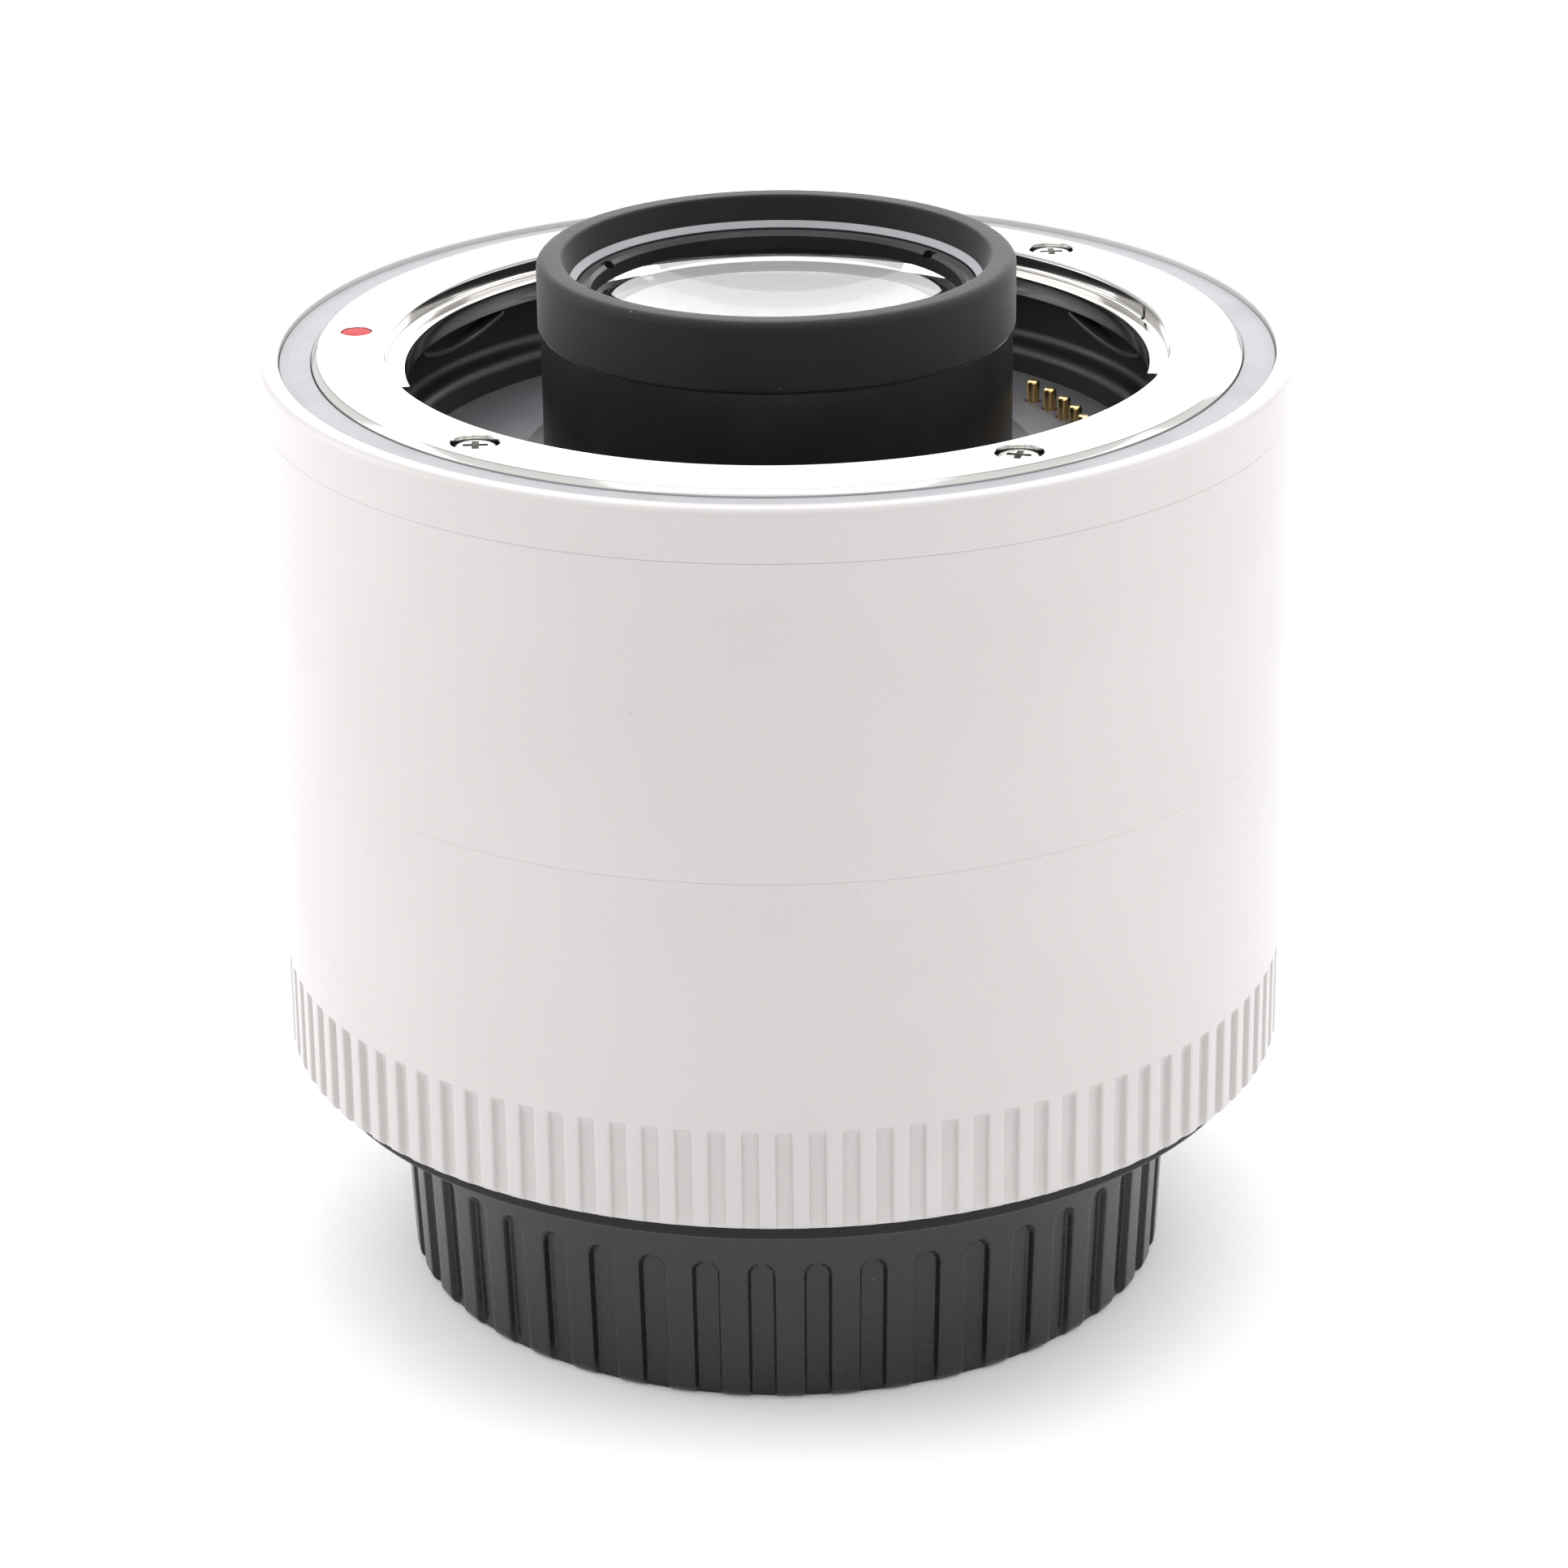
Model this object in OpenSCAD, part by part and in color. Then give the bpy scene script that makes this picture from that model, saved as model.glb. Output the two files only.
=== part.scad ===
// Camera teleconverter with a bayonet at each end, standing on its rear cap with the lens side up.
// The optical axis is Z and the cap's underside is z = 0. The index marks lie towards -X,
// the contacts towards +X and the lens release towards +Y.

/* [Barrel] */
// Outside diameter of the white barrel
barrel_d = 71.8; // [66:0.1:80]
// Distance from the camera flange to the lens flange
flange_gap = 53.2; // [50:0.1:60]
// Wall of the white shells
shell_wall = 1.3; // [1.1:0.1:1.6]
// Height of the ribbed rear shell
rear_barrel_h = 25.3; // [22:0.1:27]
// Height of the front shell
front_ring_h = 3.6; // [3.2:0.1:4.4]
// Drop of the front shell's rim below the lens flange
rim_drop = 0.13; // [0:0.01:0.4]
// Radius of the rim's outer edge
rim_edge = 0.55; // [0.2:0.05:0.8]
// Chamfer on the edges where two shells meet
seam_chamfer = 0.12; // [0.05:0.01:0.25]
// Wall of the inner chassis tube
chassis_wall = 3.2; // [2.6:0.1:3.4]

/* [Grip] */
// Height of the ribbed band
grip_h = 7.4; // [4:0.1:12]
// Number of grooves round the band
groove_count = 100; // [60:1:110]
// Width of a groove
groove_w = 1.1; // [0.6:0.05:1.3]
// Depth of a groove
groove_depth = 0.45; // [0.2:0.05:0.6]
// Radius with which a groove runs out at its top
groove_runout_r = 1.5; // [1:0.1:4]
// Radius of the band's lower edge
grip_edge = 0.8; // [0.3:0.1:1]

/* [Lens mount] */
// Width of the grey trim ring
trim_w = 2.2; // [1.9:0.1:2.5]
// Width of the lens flange ring
lens_ring_w = 5.1; // [4.9:0.1:5.5]
// Thickness of the lens flange ring
lens_ring_t = 2.7; // [2.4:0.1:3.2]
// Bevel of the ring's outer edge
lens_ring_bevel = 0.4; // [0.1:0.05:0.5]
// Chamfer of the throat's mouth
throat_chamfer = 0.2; // [0.05:0.05:0.4]
// Reach of a claw into the throat
claw_reach = 1.35; // [1:0.05:1.6]
// Drop of the claws below the flange
claw_drop = 1.2; // [0.8:0.1:1.5]
// Angle covered by a claw
claw_span = 68; // [50:1:72]
// Drop of the grey trim ring below the flange
trim_drop = 0.5; // [0.1:0.05:0.8]
// Distance from the ring's edge to its screws
lens_screw_inset = 2.7; // [2.5:0.1:2.9]
// Diameter of a flange screw's head
screw_head_d = 2.8; // [2.2:0.1:3]
// Height of a flange screw's head
screw_head_h = 0.9; // [0.6:0.1:1.2]
// Diameter of a flange screw's thread
screw_d = 1.7; // [1.2:0.1:2]
// Diameter of an index dot
index_d = 2.2; // [1:0.1:2.6]
// Depth of an index dot
index_t = 0.3; // [0.1:0.05:0.5]
// Thickness of a leaf spring
leaf_t = 0.3; // [0.15:0.05:0.4]
// Bow of a leaf spring
leaf_bow = 1.2; // [0.6:0.1:1.6]
// Length of a leaf spring
leaf_len = 12; // [9:0.5:16]

/* [Well] */
// Depth of the well's floor below the lens flange
well_depth = 8.5; // [8:0.1:10]
// Step of the well's wall behind the throat
well_set = 0.5; // [0.3:0.05:0.55]
// Wall of the well
well_wall = 0.5; // [0.4:0.1:0.6]
// Width of the well's ledge
ledge_w = 1.95; // [1.2:0.05:2.4]
// Height of the ledge above the floor
ledge_h = 1.9; // [1:0.1:3]
// Thickness of the floor plate
floor_t = 1.5; // [1:0.1:1.8]

/* [Nose] */
// Reach of the nose above the lens flange
nose_rise = 6.2; // [5.2:0.1:9]
// Width of the collar round the nose
collar_w = 1.6; // [1.4:0.05:2.05]
// Wall of the nose barrel
nose_wall = 2.45; // [2.15:0.05:2.75]
// Step of the rubber bumper over the nose barrel
bumper_proud = 0.2; // [0.1:0.05:0.45]
// Height of the rubber bumper
bumper_h = 4.8; // [4:0.1:6]
// Height of the bumper's lip over the nose barrel
bumper_lip = 1.75; // [1:0.05:2.4]
// Radius of the bumper's outer edge
bumper_edge = 0.6; // [0.2:0.05:0.6]
// Width of the slope inside the bumper's lip
bumper_flare = 0.9; // [0.5:0.1:1.1]
// Chamfer of the nose barrel's rim
nose_chamfer = 0.4; // [0.1:0.05:0.4]
// Width of the front glass's seat
front_seat_w = 1; // [0.6:0.1:1.6]
// Depth of the front glass's seat below the nose barrel's rim
front_seat = 1.7; // [1.4:0.1:2.6]

/* [Optics] */
// Wall of the lens cell
cell_wall = 4.35; // [3.9:0.05:4.8]
// Width of the inner glasses' seats
seat_w = 1.2; // [0.8:0.1:2]
// Edge height of lens group 1
group_1_h = 4.65; // [4:0.05:6]
// Edge height of lens group 2
group_2_h = 6; // [5:0.1:7]
// Edge height of lens group 3
group_3_h = 8; // [7:0.1:9]
// Edge height of lens group 4
group_4_h = 3.5; // [3:0.1:4.5]
// Edge height of lens group 5
group_5_h = 6; // [5:0.1:7]
// Height of a threaded retaining ring
retainer_h = 1.2; // [0.8:0.1:1.3]
// Thickness of the cell's flange
cell_flange_t = 2.5; // [2:0.1:3]

/* [Contacts] */
// Number of contact pins
pin_count = 11; // [5:1:11]
// Diameter of a contact pin
pin_d = 0.95; // [0.7:0.05:1]
// Distance from the well's ledge to the circle of contact pins
pin_inset = 3.75; // [3.4:0.05:4.2]
// Distance from the lens cell to the circle of contact pins
pin_offset = 4; // [3.6:0.1:4.6]
// Distance from pin to pin
pin_spacing = 2.21; // [2:0.01:2.4]
// Height of the pins above the floor
pin_rise = 1.5; // [1.2:0.1:2.2]
// Travel of a pin
pin_travel = 0.8; // [0.4:0.1:1]
// Height of the pin holder
contact_block_h = 5.5; // [5:0.1:7]
// Number of camera-side contacts
rear_contact_count = 8; // [5:1:9]
// Distance between camera-side contacts
rear_contact_spacing = 2.76; // [2.4:0.01:3]
// Diameter of a camera-side contact
rear_contact_d = 1.6; // [1:0.1:2]
// Thickness of the circuit board
board_t = 1.2; // [0.8:0.1:1.6]

/* [Lens release] */
// Travel of the release
release_travel = 2; // [1.8:0.1:2.4]
// Diameter of the lock pin
lock_pin_d = 2.4; // [2:0.1:2.6]
// Reach of the lock pin above the lens flange
lock_pin_rise = 1.6; // [1.2:0.1:1.7]
// Distance from the chassis wall to the lock pin's axis
lock_inset = 1.35; // [1.3:0.05:1.6]
// Height of the thumb slide
slide_h = 8; // [7.4:0.1:10]
// Width of the thumb slide
slide_w = 10.1; // [8:0.1:14]
// Thickness of the thumb slide
slide_t = 1.2; // [0.8:0.1:2]
// Width of the stem through the barrel
stem_w = 4; // [3:0.1:5]
// Height of the stem through the barrel
stem_h = 2.4; // [2:0.1:2.8]
// Wire of the return spring
spring_wire = 0.5; // [0.3:0.05:0.6]
// Turns of the return spring
spring_turns = 5; // [4:1:5]

/* [Camera mount] */
// Inset of the camera flange from the barrel
camera_ring_inset = 3.5; // [3:0.1:4]
// Width of the camera flange
camera_ring_w = 7.1; // [6.8:0.1:7.6]
// Thickness of the camera flange
camera_ring_t = 2.1; // [1.8:0.1:3]
// Wall of the bayonet neck
neck_wall = 1.2; // [0.8:0.1:1.4]
// Reach of the neck below the flange
neck_h = 4.4; // [4:0.1:5]
// Reach of a tab out of the neck
tab_reach = 1.4; // [1:0.05:1.5]
// Thickness of a tab
tab_t = 1.5; // [1.2:0.1:1.6]
// Distance from the camera flange's edge to its screws
camera_screw_inset = 2.9; // [2.6:0.1:3.4]
// Height of the rubber seal
seal_h = 1.55; // [1:0.05:1.8]
// Inset of the rubber seal from the barrel
seal_inset = 1.6; // [1.4:0.1:2]

/* [Rear cap] */
// Height of the cap
cap_h = 15.2; // [14.4:0.1:18]
// Wall of the cap at its mouth
cap_wall = 1.25; // [1.1:0.05:1.6]
// Step in of the cap's base under its mouth
cap_draft = 0.7; // [0.4:0.05:0.8]
// Clearance round the bayonet tabs
cap_clear = 0.25; // [0.2:0.05:0.3]
// Height of the cap's mouth
cap_mouth_h = 5.6; // [5.4:0.1:6]
// Step of the cap's wall under its mouth
cap_step = 1.45; // [0.9:0.05:1.8]
// Floor of the cap
cap_floor = 2; // [1.4:0.1:2.6]
// Radius of the cap's lower edge
cap_edge = 0.8; // [0.3:0.1:1.2]
// Number of flutes
flute_count = 45; // [36:1:48]
// Width of a flute
flute_w = 1.8; // [1.4:0.1:2.2]
// Depth of a flute
flute_depth = 0.5; // [0.3:0.05:0.55]
// Smooth height above the flutes
flute_top = 4.5; // [3:0.1:6]

/* [Hidden] */
$fn = 96;
// Sides of a large shallow curve
fine = 360;
// Clearance between pieces that sit in each other
fit = 0.05;
// Clearance of pieces that slide in each other
slide_gap = 0.2;
// Clearance of a running pin
run_gap = 0.06;
// Gap between the cap's mouth and the camera flange
cap_gap = 0.1;
// Overshoot of a cutter
over = 0.5;

index_angle = 180;
release_angle = 90;
contact_angle = 9.65;
screw_angles = [for (a = [-127.5, -53.5, 53.5, 127.5]) index_angle + a];
claw_angles = [for (a = [-14.6, 97, 208.5]) index_angle + a];
leaf_angles = [for (a = [-22, 97, 208.5]) index_angle + a];
tab_angles = [for (a = [41, 152.7, 277]) index_angle + a];
tab_spans = [40, 40, 62];
lug_span = 40;
lug_angles = [for (a = [97, 209, 344]) index_angle + a];
frame_screw_angles = [15, 135, 195, 285];
camera_screw_angles = [45, 135, 225, 315];
cell_screw_angles = [75, 165, 300];

// Levels along the axis
z_flange = cap_h + cap_gap;
z_face = z_flange + flange_gap;
z_shell = z_flange + camera_ring_t;
z_seam = z_shell + rear_barrel_h;
z_rim = z_face - rim_drop;
z_front = z_rim - front_ring_h;
z_frame = z_face - lens_ring_t;
z_floor = z_face - well_depth;
z_under = z_floor - floor_t;
z_ledge = z_floor + ledge_h;
z_tip = z_face + nose_rise;
z_bumper = z_tip - bumper_h;
z_nose_rim = z_tip - bumper_lip;

// Radii on the lens side, from the barrel inwards
bumper_clear = 0.45;
bumper_seat = 0.85;
spigot_step = 1.4;
barrel_r = barrel_d / 2;
shell_r = barrel_r - shell_wall;
lens_ring_r = shell_r - trim_w - 2 * fit;
lens_screw_r = lens_ring_r - lens_screw_inset;
throat_r = lens_ring_r - lens_ring_w;
claw_r = throat_r - claw_reach;
well_in_r = throat_r + well_set;
well_r = well_in_r + well_wall;
ledge_r = well_in_r - ledge_w;
pin_r = ledge_r - pin_inset;
cell_r = pin_r - pin_offset;
nose_r = cell_r - collar_w;
bumper_r = nose_r + bumper_proud;
bumper_seat_r = nose_r - bumper_seat;
spigot_r = nose_r - spigot_step;
nose_bore_r = nose_r - nose_wall;
bumper_bore_r = nose_bore_r + bumper_clear;
front_glass_r = nose_bore_r - fit;
front_clear_r = front_glass_r - front_seat_w;
cell_bore_r = cell_r - cell_wall;
glass_r = cell_bore_r - fit;
clear_r = glass_r - seat_w;

// Radii on the camera side, from the barrel inwards and out to the cap
camera_ring_r = barrel_r - camera_ring_inset;
camera_screw_r = camera_ring_r - camera_screw_inset;
neck_r = camera_ring_r - camera_ring_w;
neck_in_r = neck_r - neck_wall;
tab_r = neck_r + tab_reach;
seal_r = barrel_r - seal_inset;
cap_bore_r = tab_r + cap_clear;
cap_r = cap_bore_r + cap_wall;
cap_base_r = cap_r - cap_draft;
cap_well_r = cap_bore_r - cap_step;

// Chassis
chassis_ledge = 3.85;
chassis_step = 1.1;
chassis_mouth = 0.5;
chassis_base_t = 3;
chassis_seat_t = 6.8;
chassis_r = shell_r - fit;
chassis_in_r = chassis_r - chassis_wall;
chassis_seat_r = chassis_in_r - chassis_ledge;
chassis_step_r = chassis_in_r + chassis_step;
chassis_mouth_r = neck_in_r + chassis_mouth;
z_seat = z_shell + chassis_seat_t;
frame_in_r = well_r + fit;
frame_screw_r = (chassis_step_r + chassis_r) / 2;
frame_screw_d = 1.1;
frame_head_d = 1.7;
frame_head_h = 1;
frame_screw_depth = 8;
mount_screw_len = 6;
cell_screw_bite = 4;

// Optical stack: the glasses have their heights, and the spacers share what is left of the cell
collar_rise = 0.3;
z_collar = z_floor + collar_rise;
spigot_h = 6;
cell_lip_t = 2;
cell_rise = 1.85;
cell_tail = 0.4;
z_lip = z_collar - spigot_h - fit;
z_cell = z_flange + cell_rise;
z_rear_retainer = z_cell + cell_tail;
z_group_5 = z_rear_retainer + retainer_h;
z_group_2 = z_lip - cell_lip_t - group_2_h;
spacers_h = z_group_2 - z_group_5 - group_3_h - group_4_h - group_5_h;
spacer_1_h = spacers_h * 0.4;
spacer_2_h = spacers_h * 0.32;
spacer_3_h = spacers_h * 0.28;
z_spacer_3 = z_group_5 + group_5_h;
z_group_4 = z_spacer_3 + spacer_3_h;
z_spacer_2 = z_group_4 + group_4_h;
z_group_3 = z_spacer_2 + spacer_2_h;
z_spacer_1 = z_group_3 + group_3_h;
z_front_seat = z_nose_rim - front_seat;
z_group_1 = z_front_seat - group_1_h;

// Rise of a glass surface's middle over its edge, by group and by surface from the front
rise_1a = -1.1;
rise_1b = -0.7;
rise_1c = 0.6;
rise_2a = -0.7;
rise_2b = 0.8;
rise_2c = -0.8;
rise_3a = 0.9;
rise_3b = 1;
rise_3c = -0.7;
rise_3d = -0.9;
rise_4a = -0.8;
rise_4b = 1;
rise_5a = 1.1;
rise_5b = -1.1;
rise_5c = 0.85;

// Contacts
z_pin_tip = z_floor + pin_rise;
pin_collar_r = 0.75;
pin_collar_h = 0.6;
pin_bore_gap = 0.1;
pin_bore_r = pin_collar_r + pin_bore_gap;
pin_tail_r = 0.3;
pin_stop_gap = 0.1;
pin_end_gap = 0.3;
pin_spring_seat = 0.5;
z_pin_collar = z_under - pin_stop_gap - pin_collar_h;
z_block = z_under - contact_block_h;
z_pin_seat = z_block + pin_spring_seat;
z_pin_end = z_pin_seat + pin_travel + pin_end_gap;
block_wall = 1.3;
pin_pitch = turn(pin_spacing, pin_r);
block_span = (pin_count + 1) * pin_pitch;
board_rise = 3.3;
z_board = z_seat + cell_flange_t + board_rise;
board_post_d = 3;
board_post_turn = 20;
board_post_r = (cell_r + chassis_in_r) / 2;
flex_t = 0.15;
flex_w = 8;
rear_block_h = 5;
rear_block_w = 4.2;
rear_block_r = neck_in_r - slide_gap;
rear_block_in_r = rear_block_r - rear_block_w;
rear_contact_r = (rear_block_in_r + rear_block_r) / 2;
rear_contact_pitch = turn(rear_contact_spacing, rear_contact_r);
rear_contact_span = rear_contact_count * rear_contact_pitch;
block_span_rear = rear_contact_span + 2 * turn(rear_contact_d, rear_contact_r);
rear_block_drop = 0.6;
z_rear_block = z_flange - neck_h - rear_block_drop;
rear_tail_r = 0.3;
baffle_t = 1.2;
baffle_drop = 2.4;
baffle_hood = 1.6;
baffle_hood_t = 1.4;
z_baffle = z_flange - baffle_drop;

// Lens release
lock_r = chassis_in_r - lock_inset;
stem_drop = 4.6;
z_stem = z_floor - stem_drop;
spring_h = 5.4;
z_guide = z_stem - spring_h;
guide_h = 3.4;
guide_w = 7;
bracket_w = 6;
arm_reach = 2.8;
arm_gap = 0.4;
arm_in_r = lock_r - arm_reach;
arm_r = chassis_in_r - arm_gap;
coil_gap = 0.2;
coil_r = lock_pin_d / 2 + coil_gap + spring_wire / 2;
coil_bore_r = coil_r + spring_wire / 2 + slide_gap;
slide_in_r = barrel_r + slide_gap;
slide_r = slide_in_r + slide_t;
slide_span = turn(slide_w, slide_r);
z_slide = z_stem + stem_h / 2 - slide_h / 2 + release_travel / 2;
ridge_count = 4;
ridge_h = 0.7;
ridge_t = 0.3;
z_lock_tip = z_face + lock_pin_rise;
lock_end = 0.5;
z_lock_end = z_guide - guide_h + lock_end;

// Camera mount and cap
z_neck = z_flange - neck_h;
camera_lock_depth = 1.6;
lug_h = 1.6;
lug_root = 0.2;
lug_lift = 0.5;
lug_r = neck_r + slide_gap;
z_lug = z_neck + tab_t + lug_lift;
z_mouth = cap_h - cap_mouth_h;

// Points of an arc about c, from angle a0 to a1
function arc(c, r, a0, a1, n = 6) =
    [for (i = [0 : n]) c + r * [cos(a0 + (a1 - a0) * i / n), sin(a0 + (a1 - a0) * i / n)]];

// Angle of an arc of length w on radius r
function turn(w, r) = w / r * 180 / PI;

// Radius of a sphere whose middle rises by h over aperture radius a
function curve_r(h, a) = (a * a + h * h) / (2 * abs(h));

// Angle of contact pin i, the first one nearest the release
function pin_angle(i) = contact_angle + ((pin_count + 1) / 2 - i) * pin_pitch;

// Angle of camera-side contact i
function rear_contact_angle(i) =
    contact_angle + (i - (rear_contact_count - 1) / 2) * rear_contact_pitch;

// Ring about the axis
module ring(r_in, r_out, z0, z1) {
    rotate_extrude() translate([r_in, z0]) square([r_out - r_in, z1 - z0]);
}

// Piece of a ring, centred on angle mid
module sector(r_in, r_out, z0, z1, mid, span) {
    rotate([0, 0, mid - span / 2])
        rotate_extrude(angle = span)
            translate([r_in, z0]) square([r_out - r_in, z1 - z0]);
}

// Upright cylinder at radius pos and angle a
module post(pos, a, r, z0, z1) {
    rotate([0, 0, a]) translate([pos, 0, z0]) cylinder(r = r, h = z1 - z0);
}

// Screw with its head up at z_top, or down where dir is -1
module screw(pos, a, z_top, head_d, head_h, d, len, dir = 1) {
    slot = head_d / 6;
    rotate([0, 0, a]) translate([pos, 0, z_top]) rotate([dir > 0 ? 0 : 180, 0, 0])
        difference() {
            union() {
                translate([0, 0, -head_h]) cylinder(d = head_d, h = head_h);
                translate([0, 0, -len]) cylinder(d = d, h = len - head_h / 2);
            }
            for (turn = [45, 135])
                rotate([0, 0, turn])
                    translate([-head_d / 3, -slot / 2, -head_h * 0.6])
                        cube([head_d * 2 / 3, slot, head_h]);
        }
}

// Outline of a white shell with chamfers c0 below and c1 above
function shell_outline(z0, z1, c0, c1) =
    [[shell_r, z0], [barrel_r - c0, z0], [barrel_r, z0 + c0],
     [barrel_r, z1 - c1], [barrel_r - c1, z1], [shell_r, z1]];

// Slot through which the stem of the release passes, from radius r_in to r_out
module stem_slot(r_in, r_out) {
    w = stem_w + 2 * slide_gap;
    rotate([0, 0, release_angle])
        translate([r_in, -w / 2, z_stem - release_travel - slide_gap])
            cube([r_out - r_in, w, stem_h + release_travel + 2 * slide_gap]);
}

module main_barrel() {
    color("white")
        difference() {
            rotate_extrude() polygon(shell_outline(z_seam, z_front, seam_chamfer, seam_chamfer));
            stem_slot(shell_r - over, barrel_r + over);
        }
}

// One grip groove, flat-bottomed and run out at its top
module groove() {
    floor_r = barrel_r - groove_depth;
    runout = sqrt(2 * groove_runout_r * groove_depth - groove_depth * groove_depth);
    z_end = z_shell + grip_h - runout;
    translate([floor_r, -groove_w / 2, z_shell - over])
        cube([groove_depth + over, groove_w, z_end - z_shell + over]);
    translate([floor_r + groove_runout_r, 0, z_end])
        rotate([90, 0, 0]) cylinder(r = groove_runout_r, h = groove_w, center = true);
}

module rear_barrel() {
    color("white")
        difference() {
            rotate_extrude()
                polygon(concat(
                    [[shell_r, z_shell]],
                    arc([barrel_r - grip_edge, z_shell + grip_edge], grip_edge, -90, 0),
                    [[barrel_r, z_seam - seam_chamfer], [barrel_r - seam_chamfer, z_seam],
                     [shell_r, z_seam]]));
            for (i = [0 : groove_count - 1])
                rotate([0, 0, (i + 0.5) * 360 / groove_count]) groove();
            camera_index(index_d, over);
        }
}

// Disc of the camera-side index, of diameter d and standing out by rise
module camera_index(d, rise) {
    rotate([0, 0, index_angle])
        translate([barrel_r - index_t, 0, z_shell + grip_h + index_d])
            rotate([0, 90, 0]) cylinder(d = d, h = index_t + rise);
}

module camera_index_dot() {
    color("red") camera_index(index_d - 2 * fit, -fit);
}

module front_ring() {
    color("white")
        rotate_extrude()
            polygon(concat(
                [[shell_r, z_front], [barrel_r - seam_chamfer, z_front], [barrel_r, z_front + seam_chamfer]],
                arc([barrel_r - rim_edge, z_rim - rim_edge], rim_edge, 0, 90),
                [[shell_r, z_rim]]));
}

module trim_ring() {
    color("darkgray") ring(lens_ring_r + fit, shell_r - fit, z_frame, z_face - trim_drop);
}

module lens_mount_ring() {
    color("silver")
        difference() {
            union() {
                rotate_extrude()
                    polygon([[throat_r, z_frame], [lens_ring_r, z_frame],
                             [lens_ring_r, z_face - lens_ring_bevel], [lens_ring_r - lens_ring_bevel, z_face],
                             [throat_r + throat_chamfer, z_face], [throat_r, z_face - throat_chamfer]]);
                for (a = claw_angles)
                    sector(claw_r, throat_r + over, z_frame, z_face - claw_drop, a, claw_span);
            }
            for (a = screw_angles) {
                post(lens_screw_r, a, screw_d / 2 + fit, z_frame - over, z_face + over);
                post(lens_screw_r, a, screw_head_d / 2 + slide_gap, z_face - screw_head_h - slide_gap,
                     z_face + over);
            }
            post(lens_screw_r, index_angle, index_d / 2, z_face - index_t, z_face + over);
            post(lock_r, release_angle, lock_pin_d / 2 + 2 * run_gap, z_frame - over, z_face + over);
        }
}

module lens_mount_screws() {
    color("silver")
        for (a = screw_angles)
            screw(lens_screw_r, a, z_face - slide_gap, screw_head_d, screw_head_h, screw_d,
                  mount_screw_len);
}

module lens_index_dot() {
    color("red") post(lens_screw_r, index_angle, index_d / 2 - fit, z_face - index_t, z_face - fit);
}

// Bowed leaf under each claw, its ends against the claw
module mount_springs() {
    bow_r = (leaf_len * leaf_len / 4 + leaf_bow * leaf_bow) / (2 * leaf_bow);
    z_low = z_frame - leaf_bow - leaf_t;
    color("dimgray")
        for (a = leaf_angles)
            intersection() {
                sector(claw_r + fit, throat_r - fit, z_low - over, z_frame, a, claw_span / 2);
                rotate([0, 0, a]) translate([claw_r / 2, 0, z_low + bow_r])
                    rotate([0, 90, 0])
                        difference() {
                            cylinder(r = bow_r, h = throat_r, $fn = fine);
                            translate([0, 0, -over])
                                cylinder(r = bow_r - leaf_t, h = throat_r + 2 * over, $fn = fine);
                        }
            }
}

module bayonet_well() {
    color("black")
        rotate_extrude()
            polygon([[ledge_r, z_floor], [well_r, z_floor], [well_r, z_frame], [well_in_r, z_frame],
                     [well_in_r, z_ledge], [ledge_r, z_ledge]]);
}

module floor_plate() {
    color("dimgray")
        difference() {
            ring(cell_r + slide_gap, chassis_step_r - fit, z_under, z_floor);
            for (i = [1 : pin_count])
                post(pin_r, pin_angle(i), pin_d / 2 + run_gap, z_under - over, z_floor + over);
            post(lock_r, release_angle, lock_pin_d / 2 + slide_gap, z_under - over, z_floor + over);
        }
}

module front_frame() {
    color("gray")
        difference() {
            ring(frame_in_r, chassis_r, z_floor, z_frame);
            for (a = screw_angles)
                post(lens_screw_r, a, screw_d / 2 + fit, z_floor - over, z_frame + over);
            for (a = frame_screw_angles) {
                post(frame_screw_r, a, frame_screw_d / 2 + fit, z_floor - over, z_frame + over);
                post(frame_screw_r, a, frame_head_d / 2 + fit, z_frame - frame_head_h - fit, z_frame + over);
            }
            post(lock_r, release_angle, lock_pin_d / 2 + run_gap, z_floor - over, z_frame + over);
        }
}

module frame_screws() {
    len = z_frame - z_floor + frame_screw_depth;
    color("dimgray")
        for (a = frame_screw_angles)
            screw(frame_screw_r, a, z_frame - fit, frame_head_d, frame_head_h, frame_screw_d, len);
}

module chassis() {
    color("dimgray")
        difference() {
            rotate_extrude()
                polygon([[chassis_mouth_r, z_shell], [chassis_r, z_shell], [chassis_r, z_floor],
                         [chassis_step_r, z_floor], [chassis_step_r, z_under], [chassis_in_r, z_under],
                         [chassis_in_r, z_seat], [chassis_seat_r, z_seat],
                         [chassis_seat_r, z_shell + chassis_base_t],
                         [chassis_mouth_r, z_shell + chassis_base_t]]);
            for (a = frame_screw_angles)
                post(frame_screw_r, a, frame_screw_d / 2 + fit, z_floor - frame_screw_depth - over,
                     z_floor + over);
            for (a = camera_screw_angles)
                post(camera_screw_r, a, screw_d / 2 + fit, z_shell - over,
                     z_flange + mount_screw_len + over);
            for (a = cell_screw_angles)
                post(camera_screw_r, a, screw_d / 2 + fit, z_seat - cell_screw_bite - over,
                     z_seat + over);
            stem_slot(chassis_in_r - over, chassis_r + over);
            post(lock_r, release_angle, coil_bore_r, z_guide, z_stem + stem_h);
        }
}

module contact_block() {
    half = pin_bore_r + block_wall;
    color("black")
        difference() {
            sector(pin_r - half, pin_r + half, z_block, z_under, contact_angle, block_span);
            for (i = [1 : pin_count])
                post(pin_r, pin_angle(i), pin_bore_r, z_pin_seat, z_under + over);
        }
}

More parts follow.
